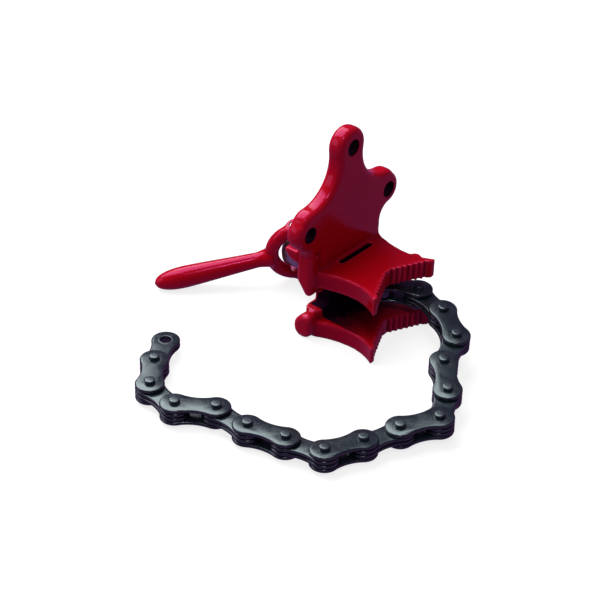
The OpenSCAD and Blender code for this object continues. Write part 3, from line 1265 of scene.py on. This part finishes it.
    def _lump(self) -> Object:
        """Returns the small swelling on the far side of the upper jaw, near its tip."""
        top = self.foot + self.jaw_height
        lump = turned("lump", rounded_bar(self.lump_r, top - self.jaw_t, top, self.lump_edge), 32)
        return settle(lump, shift(self.jaw_tip - self.lump_back, self.jaw_waist - self.lump_in, 0))

    def _chain_notch(self) -> Object:
        """Returns the cutter of the notch between the ears."""
        half = self.notch_w / 2
        flared = half + self.notch_flare
        inner = self.notch_depth - self.ear_side
        throat = self.ear_block - self.ear_side
        out = -self.ear_side - self.past
        z = self.middle
        outline = [(inner, z - half), (throat, z - half), (out, z - flared)]
        outline += [(out, z + flared), (throat, z + half), (inner, z + half)]
        start, end = -self.ear_back - self.past, self.flange_t + self.past
        return prism("chain_notch", outline, Plane.FRONT, start, end)

    def _bolt_hole(self, y: float, z: float) -> Object:
        """The cutter of one bolt hole, which breaks the hole's two rims.

        Args:
            y: Place of the hole along the flange.
            z: Its height.

        Returns:
            The cutter.
        """
        r, rim, out = self.bolt_hole_d / 2, self.hole_rim, 1.0
        t, wide = self.flange_t, r + rim + out
        below = [(0, -out), (wide, -out), (r, rim)]
        above = [(r, t - rim), (wide, t + out), (0, t + out)]
        cutter = turned("bolt_hole", [*below, *above], 48)
        return settle(cutter, shift(0, y, z) @ turn(90, "Y"))

    def _through_jaws(self) -> tuple[float, float]:
        """Returns the lowest and highest place of a cutter that passes both jaws."""
        return self.foot - self.past, self.foot + self.jaw_height + self.past

    def _notch_for_pipe(self) -> Object:
        """Returns the cutter of the notch for the pipe, with a soft tooth at each pitch."""
        run = self.mouth_half - self.mouth_flat
        angle = math.atan(self.mouth_depth / run)
        length = math.hypot(self.mouth_depth, run)
        teeth = math.floor(length / self.tooth_pitch)
        step = length / teeth
        foot = Vector((self.jaw_tip - self.mouth_depth, self.mouth_flat))
        along = Vector((math.sin(angle), math.cos(angle)))
        out = Vector((math.cos(angle), -math.sin(angle)))
        tooth = ((0.0, 0.0), (0.12, 0.12), (0.4, 0.92), (0.5, 1.0), (0.6, 0.92), (0.88, 0.12))
        flank: list[Point] = []
        for i in range(teeth):
            for share, depth in tooth:
                p = foot + along * step * (i + share) - out * self.tooth_depth * depth
                flank.append((p.x, p.y))
        tip = foot + along * (length - self.nib)
        flank = [p for p in flank if p[1] < tip.y]
        flank += [(tip.x, tip.y), (self.jaw_tip + 4, tip.y)]
        outline = [*flank, *mirrored_across(flank)]
        return prism("pipe_notch", outline, Plane.TOP, *self._through_jaws())

    def _slot(self) -> Object:
        """Returns the cutter of the cored slots at the root of both jaws."""
        x = self.flange_t + self.slot_web + self.slot_w / 2
        half = (self.slot_length - self.slot_w) / 2
        r = self.slot_w / 2
        outline = [
            *arc((x, self.slot_at + half), r, 0, 180, 10),
            *arc((x, self.slot_at - half), r, 180, 360, 10),
        ]
        return prism("slot", outline, Plane.TOP, *self._through_jaws())

    def _box(self, name: str, low: Place, high: Place) -> Object:
        """A box cutter with its long edges broken.

        Args:
            name: Name of the cutter.
            low: Its lowest corner.
            high: Its highest corner.

        Returns:
            The cutter.
        """
        outline = [(low[1], low[2]), (high[1], low[2]), (high[1], high[2]), (low[1], high[2])]
        box = prism(name, outline, Plane.FRONT, low[0], high[0])
        return bevel_where(box, self.core_round, 3, lambda a, b: abs(a.x - b.x) > 1)

    def _guide_bore(self) -> Object:
        """Returns the cutter of the screw's guide bore."""
        bore = turned("guide_bore", plain_bar(self.guide_r, -1, self.end_wall + self.past))
        return settle(bore, shift(-self.housing_depth, self.screw_y, self.middle) @ turn(90, "Y"))

    def _passages(self) -> list[Object]:
        """Returns the two cutters of the chain's way in."""
        y, z = self.screw_y, self.middle
        h, out = self.passage_h / 2, self.flange_t + 1
        inside = self.end_wall - self.housing_depth
        cutters = []
        for start, width in ((inside, self.passage_w), (0, self.mouth_w)):
            half = width / 2
            cutters.append(self._box("passage", (start, y - half, z - h), (out, y + half, z + h)))
        return cutters

    def _root_weight(self, co: np.ndarray) -> np.ndarray:
        """How much each place belongs to the fillets at the jaws' roots.

        Args:
            co: Places in millimetres.

        Returns:
            Weights from 0 to 1.
        """
        x, y, z = co.T
        half = self.jaw_height / 2
        best = np.zeros(len(co))
        for level in (half, half - self.jaw_t, -half + self.jaw_t):
            far = np.hypot(x - self.flange_t, z - (self.middle + level))
            best = np.maximum(best, 1.6 - far / self.root_reach)
        return np.where(np.abs(y) < self.ear_side - 4, best, 0)

    def _painted_shade_weight(self, co: np.ndarray) -> np.ndarray:
        """How much painted shade each place gets: in the bolt holes, the slots and the chain's gap.

        Args:
            co: Places in millimetres.

        Returns:
            Weights from 0 to 1.
        """
        x, y, z = co.T
        side = self.bolt_spacing / 2
        best = np.zeros(len(co))
        for hy, hz in ((-side, 0.0), (side, 0.0), (0.0, self.top_hole_rise)):
            inside = np.hypot(y - hy, z - hz) < self.bolt_hole_d / 2 + 0.15
            best = np.where(inside & (x < self.flange_t - 0.4) & (x > 0.2), 1.0, best)
        slot_x = self.flange_t + self.slot_web + self.slot_w / 2
        aside, level = np.abs(y - self.slot_at), np.abs(z - self.middle)
        in_slot = (np.abs(x - slot_x) < self.slot_w / 2 + 0.05) & (aside < self.slot_length / 2)
        best = np.where(in_slot & (level < self.jaw_height / 2 - 1), self.slot_shade, best)
        half = self.jaw_height / 2 - self.jaw_t
        fading = self.gap_shade - (x - self.flange_t) / self.gap_fade
        in_gap = (level < half + 1.5) & (x > 3 - self.ear_back) & (aside < self.ear_side - 10)
        return np.where(in_gap, np.maximum(best, fading), best)

    def build(self, shop: Paintshop) -> None:
        """Casts the body in one skin, cuts it and paints it.

        Args:
            shop: Where it is painted and delivered.
        """
        parts = [
            self._flange(),
            self._jaw(self.foot),
            self._jaw(self.foot + self.jaw_height - self.jaw_t),
            self._upper_ear(),
            self._lower_ear(),
            self._lip(),
            self._housing(),
            self._lump(),
        ]
        body = remesh(join("cast_body", parts), self.voxel)
        soften(body, self.root_rounds, self._root_weight)
        cutters = [self._chain_notch(), self._notch_for_pipe(), self._slot(), *self._passages()]
        for cutter in cutters:
            combine(body, cutter, Cut.AWAY)
        remesh(body, self.voxel)
        teeth_from = self.jaw_tip - self.mouth_depth - 2

        def softness(co: np.ndarray) -> np.ndarray:
            """Returns less softening where the teeth are."""
            return np.where(co[:, 0] > teeth_from, self.mouth_softness, 1.0)

        soften(body, self.skin_rounds, softness)
        mark_edges(body)
        side = self.bolt_spacing / 2
        for y, z in ((-side, 0), (side, 0), (0, self.top_hole_rise)):
            combine(body, self._bolt_hole(y, z), Cut.AWAY)
        combine(body, self._guide_bore(), Cut.AWAY)
        # Painted shade in the bolt holes, the slots and the jaws' gap.
        add_painted_shade(body, self._painted_shade_weight)
        smooth_shading(body, CAST_ANGLE)
        shop.deliver(body, RED_ENAMEL, "base", ["vise_base"])


# ---- Yoke, screw and nut ----------------------------------------------------------------------


@dataclass(frozen=True)
class ScrewLine:
    """Where the screw, the nut and the yoke's pivot lie behind the casting."""

    axis_y: float = 12.0
    axis_z: float = -55.5
    pivot_x: float = -38.8
    roll: float = 15.4
    swing: float = 49.5

    def along_screw(self, x: float) -> Matrix:
        """Puts a piece that is turned about Z on the screw's axis.

        Args:
            x: Where its origin goes along the axis.

        Returns:
            The matrix that turns Z to X and moves the piece there.
        """
        return shift(x, self.axis_y, self.axis_z) @ turn(90, "Y")

    def at_pivot(self) -> Matrix:
        """Returns the matrix of the pivot, whose axis is drawn along Z."""
        return shift(self.pivot_x, self.axis_y, self.axis_z) @ turn(self.roll, "X")


@dataclass(frozen=True)
class YokeHandle:
    """The forged handle: a half ring with two bosses and a tapered rod."""

    line: ScrewLine
    ring_r: float = 19.4
    ring_d: float = 9.6
    arm_inner: float = 15.3
    arm_outer: float = 23.7
    boss_d: float = 14.0
    bore_d: float = 8.16
    rod_root_d: float = 10.6
    rod_flare: float = 2.0
    rod_d: float = 15.0
    rod_nose: float = 22.0
    length: float = 101.0
    boss_edge: float = 1.2
    arm_edge: float = 0.4
    voxel: float = 0.55
    rod_reach: float = 9.0
    boss_reach: float = 6.0
    blend_rounds: int = 60
    skin_rounds: int = 3

    def _ring(self) -> Object:
        """Returns the half ring, cut from a whole one in the plane of the pivot and the rod."""
        deselect()
        bpy.ops.mesh.primitive_torus_add(
            major_radius=self.ring_r * MM,
            minor_radius=self.ring_d / 2 * MM,
            major_segments=96,
            minor_segments=32,
            rotation=(math.pi / 2, 0, 0),
        )
        ring = settle(bpy.context.object, Matrix.Identity(4))
        edit(ring)
        bpy.ops.mesh.bisect(plane_co=(0, 0, 0), plane_no=(1, 0, 0), use_fill=True, clear_outer=True)
        leave()
        return face_outwards(ring)

    def _rod(self) -> Object:
        """Returns the rod, which swells towards its bullet end."""
        thick_at = self.length - self.rod_nose
        root = self.rod_root_d / 2
        thick = self.rod_d / 2
        run = [(root + self.rod_flare, self.ring_r), (root, self.ring_r + self.ring_d)]
        steps = 12
        swell = thick_at - self.ring_r - self.ring_d
        for i in range(1, steps):
            t = i / steps
            ease = t * t * (3 - 2 * t) * 0.4 + t * 0.6
            run.append((root + (thick - root) * ease, self.ring_r + self.ring_d + swell * t))
        for i in range(steps):
            t = i / steps
            run.append((thick * math.sqrt(1 - t**2.4), thick_at + self.rod_nose * t))
        rod = turned("rod", [(0, self.ring_r), *run, (0, self.length)], 64)
        return settle(rod, turn(-90, "Y"))

    def _blend_weight(self, co: np.ndarray) -> np.ndarray:
        """How much each place belongs to the blends between the ring, its bosses and the rod.

        Args:
            co: Places in the yoke's own frame, in millimetres.

        Returns:
            Weights from 0 to 1.
        """
        x, _, z = co.T
        to_rod = np.hypot(x + self.ring_r + self.ring_d / 2, z)
        to_boss = np.hypot(x + self.boss_d / 2, np.abs(z) - self.arm_inner - 4)
        return np.maximum(1.5 - to_rod / self.rod_reach, 1.2 - to_boss / self.boss_reach)

    def build(self, shop: Paintshop) -> None:
        """Forges the handle in one skin, bores it and paints it.

        Args:
            shop: Where it is painted and delivered.
        """
        parts = [self._ring(), self._rod()]
        profile = rounded_bar(self.boss_d / 2, self.arm_inner, self.arm_outer, self.boss_edge)
        for side in (0, 180):
            parts.append(settle(turned("boss", profile), turn(side, "X")))
        yoke = remesh(join("yoke_forging", parts), self.voxel)
        soften(yoke, self.blend_rounds, self._blend_weight)
        soften(yoke, self.skin_rounds, None)
        reach, far = self.arm_outer + 2, self.boss_d / 2 + 2
        inside = turned("inside", rounded_bar(far, -self.arm_inner, self.arm_inner, self.arm_edge))
        bore = turned("bore", plain_bar(self.bore_d / 2, -reach, reach))
        mark_edges(yoke)
        combine(yoke, inside, Cut.AWAY)
        combine(yoke, bore, Cut.AWAY)
        settle(yoke, self.line.at_pivot() @ turn(self.line.swing, "Z"))
        smooth_shading(yoke, FORGED_ANGLE)
        shop.deliver(yoke, RED_ENAMEL, "handle", ["yoke_handle"])


@dataclass(frozen=True)
class ChainScrew:
    """The screw that draws the chain in: threaded shank, flat neck and eye."""

    line: ScrewLine
    radius: float = 8.0
    lead: float = 4.0
    depth: float = 1.3
    ridge_foot: float = 3.1
    ridge_top: float = 1.9
    rear: float = -47.5
    front: float = 18.5
    eye_at: float = 30.0
    eye_r: float = 9.25
    eye_edge: float = 0.7
    half_t: float = 2.8
    neck_w: float = 14.0
    bore_r: float = 3.7

    def _thread(self) -> Object:
        """Returns the thread's ridge, a helix that runs past both ends of the shank."""
        root, crest = self.radius - self.depth - 0.4, self.radius + 0.2
        foot, top = self.ridge_foot / 2, self.ridge_top / 2
        profile = [(root, -foot), (crest, -top), (crest, top), (root, foot)]
        start = self.rear - 2 * self.lead
        corners = [Vector((r, 0, start + z)) * MM for r, z in profile]
        ridge = outline_loop("thread", corners, filled=False)
        modifier = ridge.modifiers.new("helix", "SCREW")
        modifier.axis = "Z"
        modifier.angle = math.tau
        modifier.screw_offset = self.lead * MM
        modifier.iterations = math.ceil((self.front - self.rear) / self.lead) + 4
        modifier.steps = modifier.render_steps = 40
        apply_modifier(ridge, modifier.name)
        edit(ridge)
        bpy.ops.mesh.fill_holes(sides=8)
        leave()
        return face_outwards(ridge)

    def build(self, shop: Paintshop) -> None:
        """Turns the shank, cuts its thread and adds the neck and the eye.

        Args:
            shop: Where it is finished and delivered.
        """
        rear, front, r = self.rear, self.front, self.radius
        core = turned("screw", rounded_bar(r - self.depth, rear + 0.4, front, 0.3))
        combine(core, self._thread(), Cut.JOIN)
        behind = [(0, rear), (r - self.depth, rear), (r, rear + self.depth)]
        ahead = [(r, front - 1), (r - 1, front), (0, front)]
        combine(core, turned("trim", [*behind, *ahead], 96), Cut.KEEP)
        settle(core, self.line.along_screw(0))
        half, y, z = self.neck_w / 2, self.line.axis_y, self.line.axis_z
        side = [(front - 1, y - half), (self.eye_at, y - half)]
        other = [(self.eye_at, y + half), (front - 1, y + half)]
        low, high = z - self.half_t, z - self.half_t + 2 * self.half_t
        combine(core, prism("neck", [*side, *other], Plane.TOP, low, high), Cut.JOIN)
        at_eye = shift(self.eye_at, y, z)
        eye = turned("eye", rounded_bar(self.eye_r, -self.half_t, self.half_t, self.eye_edge), 72)
        combine(core, settle(eye, at_eye), Cut.JOIN)
        bore = turned("bore", rounded_bar(self.bore_r, -5, 5, 0.2), 48)
        combine(core, settle(bore, at_eye), Cut.AWAY)
        core.name = "threaded_chain_screw"
        smooth_shading(core, FORGED_ANGLE)
        shop.deliver(core, BLACK_SCREW_STEEL, "screw", ["chain_screw"])


@dataclass(frozen=True)
class NutGroup:
    """The handle's nut, its thrust washer and the yoke's two pivot pins."""

    line: ScrewLine
    nut_r: float = 12.0
    nut_l: float = 18.0
    chamfer: float = 3.0
    nut_soft: float = 0.5
    bore_r: float = 8.08
    washer_r: float = 12.5
    washer_bore_r: float = 8.4
    washer_from: float = -29.7
    washer_t: float = 2.6
    washer_edge: float = 0.35
    pin_r: float = 4.0
    pin_from: float = 9.6
    pin_to: float = 23.4
    pin_edge: float = 0.6

    def build(self, shop: Paintshop) -> None:
        """Turns the nut, the washer and the pins.

        Args:
            shop: Where they are finished and delivered.
        """
        half, r, c, soft = self.nut_l / 2, self.nut_r, self.chamfer, self.nut_soft
        rim = [
            (r, half - c - soft),
            (r - 0.2, half - c),
            (r - c, half - 0.2),
            (r - c - soft, half),
            (self.bore_r + soft, half),
            (self.bore_r, half - soft),
        ]
        nut = turned("turned_handle_nut", [*[(x, -z) for x, z in reversed(rim)], *rim], 96)
        settle(nut, self.line.at_pivot() @ turn(90, "Y"))
        bore, edge = self.washer_bore_r, self.washer_edge
        ring = rounded_ring(bore, self.washer_r, 0, self.washer_t, edge)
        washer = turned("turned_thrust_washer", ring, 96)
        settle(washer, self.line.along_screw(self.washer_from))
        pins = []
        for side in (0, 180):
            profile = rounded_bar(self.pin_r, self.pin_from, self.pin_to, self.pin_edge)
            pin = turned("pin", profile, 48)
            pins.append(settle(pin, self.line.at_pivot() @ turn(side, "X")))
        pair = join("turned_pivot_pins", pins)
        for piece, node in ((nut, "handle_nut"), (washer, "thrust_washer"), (pair, "pivot_pins")):
            shop.deliver(smooth_shading(piece, SHARP_ANGLE), BRIGHT_NUT_STEEL, "nut", [node])


# ---- Chain ------------------------------------------------------------------------------------


@dataclass(frozen=True)
class PlateChain:
    """The chain: outer links with two pins each and inner links with two bushes each."""

    eye: Place = (30.0, 12.0, -55.5)
    pitch: float = 25.4
    drop: float = 16.9
    headings: tuple[float, ...] = (
        *(26, -15, -34, -71, -48, -64, -121, -111),
        *(-115, -166, -166, 179, -146, 170, 128, 118),
    )
    drop_shares: tuple[float, ...] = (4, 11, 17, 19, 19, 17, 8, 5)
    leans: tuple[float, ...] = (1.8, 1.8, 1.5, -2.2, 1.3, 0, -3.5, -1.3)
    end_r: float = 9.25
    waist: float = 6.9
    plate_t: float = 2.4
    outer_face: float = 3.3
    inner_face: float = 0.4
    pin_r: float = 3.4
    pin_half: float = 8.1
    pin_edge: float = 0.7
    bush_r: float = 5.0
    bush_bore_r: float = 3.7
    bush_half: float = 2.8
    bush_edge: float = 0.3
    rim: float = 0.95

    def _outline(self) -> list[Point]:
        """Returns a plate's outline, with its first hole at the origin and its second along +X."""
        bite = self.end_r - 0.06
        half = self.pitch / 2
        hollow_r = (half**2 + self.waist**2 - bite**2) / (2 * (bite - self.waist))
        above = (half, self.waist + hollow_r)
        lean = bearing((0, 0), above)
        return [
            *arc((0, 0), self.end_r, lean, 360 - lean, 30),
            *arc((half, -above[1]), hollow_r, 180 - lean, lean, 10)[1:-1],
            *arc((self.pitch, 0), self.end_r, lean - 180, 180 - lean, 30),
            *arc(above, hollow_r, -lean, lean - 180, 10)[1:-1],
        ]

    def _plate(self, name: str, face: float, hole_r: float) -> Object:
        """A pressed plate with its rims rolled over.

        Args:
            name: Name of the plate.
            face: Height of its inner face.
            hole_r: Radius of its two holes.

        Returns:
            The plate, above the link's middle plane.
        """
        plate = prism(name, self._outline(), Plane.TOP, face, face + self.plate_t)
        bevel_where(plate, self.rim, 4, lambda a, b: abs(a.z - b.z) < NEAR)
        for x in (0, self.pitch):
            hole = turned("hole", plain_bar(hole_r, -1, 9), 48)
            combine(plate, settle(hole, shift(x, 0, 0)), Cut.AWAY)
        return plate

    def _pair(self, name: str, face: float, hole_r: float) -> Object:
        """Two plates, one above and one below the link's middle.

        Args:
            name: Name of the pair.
            face: Distance of their inner faces from the middle.
            hole_r: Radius of their holes.

        Returns:
            The pair as one object.
        """
        upper = self._plate(name, face, hole_r)
        lower = duplicate(upper, name + "_lower")
        settle(lower, shift(self.pitch, 0, 0) @ turn(180, "Y"))
        return smooth_shading(join(name, [upper, lower]), SHARP_ANGLE)

    def _twice(self, name: str, profile: list[Point]) -> Object:
        """Returns two turned pieces as one object, one in each of a link's holes."""
        first = turned(name, profile, 40)
        second = settle(duplicate(first, "second"), shift(self.pitch, 0, 0))
        return smooth_shading(join(name, [first, second]), SHARP_ANGLE)

    def _pins(self) -> Object:
        """Returns the two riveted pins of an outer link, with slightly domed ends."""
        r, h, edge = self.pin_r, self.pin_half, self.pin_edge
        rim = arc((r - edge, h - edge), edge, 0, 75, 4)
        top = [*rim, (r - 1.3, h + 0.02), (0, h + 0.12)]
        return self._twice("riveted_pins", [*[(x, -z) for x, z in reversed(top)], *top])

    def _bushes(self) -> Object:
        """Returns the two bushes of an inner link."""
        half, edge = self.bush_half, self.bush_edge
        profile = rounded_ring(self.bush_bore_r, self.bush_r, -half, half, edge)
        return self._twice("pressed_bushes", profile)

    def _link_places(self) -> list[Matrix]:
        """Returns the place of every link, from the screw's eye to the open end."""
        at = Vector(self.eye)
        found = []
        lying = (0.0,) * len(self.headings)
        rows = zip(self.headings, self.drop_shares + lying, self.leans + lying)
        for heading, share, lean in rows:
            drop = self.drop * (share / sum(self.drop_shares))
            dip = math.degrees(math.asin(drop / self.pitch))
            turned_to = turn(heading, "Z") @ turn(dip, "Y") @ turn(lean, "X")
            found.append(shift(*at) @ turned_to)
            at += turned_to.to_3x3() @ Vector((self.pitch, 0, 0))
        return found

    def build(self, shop: Paintshop) -> None:
        """Makes each piece once and copies it along the chain.

        Args:
            shop: Where the pieces are finished and delivered.
        """
        outer = self._pair("outer_plates", self.outer_face, self.pin_r + 0.01)
        inner = self._pair("inner_plates", self.inner_face, self.bush_r + 0.01)
        pins, bushes = self._pins(), self._bushes()
        outer_link = ((outer, PLATE_STEEL, "outer_plates"), (pins, PIN_STEEL, "chain_pins"))
        inner_link = ((inner, PLATE_STEEL, "inner_plates"), (bushes, PIN_STEEL, "link_bushes"))
        for k, place in enumerate(self._link_places()):
            for pattern, finish, kind in (outer_link, inner_link)[k % 2]:
                node = f"{kind}_{k // 2 + 1}"
                piece = settle(duplicate(pattern, "dressed_" + node), place)
                shop.deliver(piece, finish, f"link_{k + 1:02d}", [node])
        for pattern in (outer, inner, pins, bushes):
            bpy.data.objects.remove(pattern)


# ---- Studio -----------------------------------------------------------------------------------


@dataclass(frozen=True)
class Lamp:
    """A square soft lamp that points at the object."""

    name: str
    place: Place
    size: float
    power: float
    aim: Place = (0, 0, -0.05)

    def hang(self) -> None:
        """Hangs the lamp in its place."""
        data = bpy.data.lights.new(self.name, "AREA")
        data.shape = "SQUARE"
        data.size = self.size
        data.energy = self.power
        lamp = bpy.data.objects.new(self.name, data)
        bpy.context.scene.collection.objects.link(lamp)
        place = Vector(self.place)
        facing = (place - Vector(self.aim)).to_track_quat("Z", "Y")
        lamp.matrix_world = Matrix.Translation(place) @ facing.to_matrix().to_4x4()


@dataclass(frozen=True)
class Studio:
    """White table, soft lamps and the camera of the photograph."""

    table_z: float = -80.5
    table_size: float = 12.0
    aim: tuple[float, float] = (-23.23, -5.46)
    azimuth: float = 39.27
    elevation: float = 33.575
    roll: float = 1.742
    distance: float = 1138.7
    lens: float = 101.48
    dusk: Color = (0.24, 0.09, 0.31)
    dusk_strength: float = 0.3
    sky_color: Color = (0.94, 0.96, 1.0)
    sky_strength: float = 0.2
    table_color: Color = (0.24, 0.24, 0.25)
    table_shown: Color = (0.3, 0.3, 0.3)
    table_glow: float = 0.8
    lamps: tuple[Lamp, ...] = (
        Lamp("overhead", (-0.65, 0.05, 1.05), 1.2, 23.0),
        Lamp("left", (-0.7, -0.9, 0.45), 0.6, 1.8),
        Lamp("sparkle", (0.42, -0.52, 1.05), 0.2, 2.0),
    )

    def _camera(self) -> None:
        """Stands the camera where the photograph was taken from."""
        a, e, r = (math.radians(v) for v in (self.azimuth, self.elevation, self.roll))
        back = Vector((math.sin(a) * math.cos(e), -math.cos(a) * math.cos(e), math.sin(e)))
        right = Vector((math.cos(a), math.sin(a), 0))
        up = back.cross(right)
        across = right * math.cos(r) + up * math.sin(r)
        upright = up * math.cos(r) - right * math.sin(r)
        data = bpy.data.cameras.new("camera")
        data.lens = self.lens
        data.sensor_width = 36
        data.clip_start, data.clip_end = 0.01, 20
        camera = bpy.data.objects.new("camera", data)
        bpy.context.scene.collection.objects.link(camera)
        place = Vector((*self.aim, self.table_z)) * MM + back * self.distance * MM
        turned_to = Matrix((across, upright, back)).transposed().to_4x4()
        camera.matrix_world = Matrix.Translation(place) @ turned_to
        bpy.context.scene.camera = camera

    @staticmethod
    def _by_ray(bench: NodeBench, plain: Socket, glossy: Socket, seen: Socket) -> Socket:
        """Chooses between three shaders by who is looking.

        Args:
            bench: The bench of the tree that they are in.
            plain: What lights the object.
            glossy: What the object's gloss mirrors.
            seen: What the camera sees.

        Returns:
            The mixed shader.
        """
        path = bench.add("ShaderNodeLightPath", {}).outputs
        first = {0: path["Is Glossy Ray"], 1: plain, 2: glossy}
        mirrored_first = bench.add("ShaderNodeMixShader", first).outputs[0]
        second = {0: path["Is Camera Ray"], 1: mirrored_first, 2: seen}
        return bench.add("ShaderNodeMixShader", second).outputs[0]

    def _table(self) -> None:
        """Lays the white table, which keeps the object's shadow and mirrors as a dusky violet."""
        deselect()
        height = self.table_z * MM
        bpy.ops.mesh.primitive_plane_add(size=self.table_size, location=(0, 0, height))
        table = bpy.context.object
        table.name = "table"
        material = bpy.data.materials.new("table_white")
        material.use_nodes = True
        bench = NodeBench(material.node_tree)
        bench.tree.nodes.clear()
        plain = bench.add("ShaderNodeBsdfDiffuse", {"Color": opaque(self.table_color)})
        shown = bench.add("ShaderNodeBsdfDiffuse", {"Color": opaque(self.table_shown)})
        glow = bench.add("ShaderNodeEmission", {"Strength": self.table_glow})
        dusky = bench.add("ShaderNodeEmission", {"Color": opaque(self.dusk)})
        both = bench.add("ShaderNodeAddShader", {0: shown.outputs[0], 1: glow.outputs[0]})
        shades = (shade.outputs[0] for shade in (plain, dusky, both))
        bench.add("ShaderNodeOutputMaterial", {"Surface": self._by_ray(bench, *shades)})
        table.data.materials.append(material)

    def _sky(self) -> None:
        """Sets a soft even sky, which the camera sees as white."""
        world = bpy.data.worlds.new("sky")
        bpy.context.scene.world = world
        world.use_nodes = True
        bench = NodeBench(world.node_tree)
        bench.tree.nodes.clear()
        plain = (self.sky_color, self.sky_strength)
        shades = []
        for color, strength in (plain, (self.dusk, self.dusk_strength), ((1.0, 1.0, 1.0), 1.0)):
            inputs = {"Color": opaque(color), "Strength": strength}
            shades.append(bench.add("ShaderNodeBackground", inputs).outputs[0])
        bench.add("ShaderNodeOutputWorld", {"Surface": self._by_ray(bench, *shades)})

    def build(self) -> None:
        """Sets the stage and the view."""
        self._camera()
        self._table()
        self._sky()
        for lamp in self.lamps:
            lamp.hang()
        bpy.context.scene.view_settings.view_transform = "Standard"
        log.info("studio: table, sky, camera and %d lamps", len(self.lamps))


def main() -> None:
    """Builds the studio and every sub-assembly in order, and reports each piece."""
    logging.basicConfig(level=logging.INFO, format="%(name)s: %(message)s")
    Studio().build()
    shop = Paintshop()
    line = ScrewLine()
    Casting().build(shop)
    YokeHandle(line).build(shop)
    ChainScrew(line).build(shop)
    NutGroup(line).build(shop)
    PlateChain().build(shop)
    deselect()


if __name__ == "__main__":
    main()
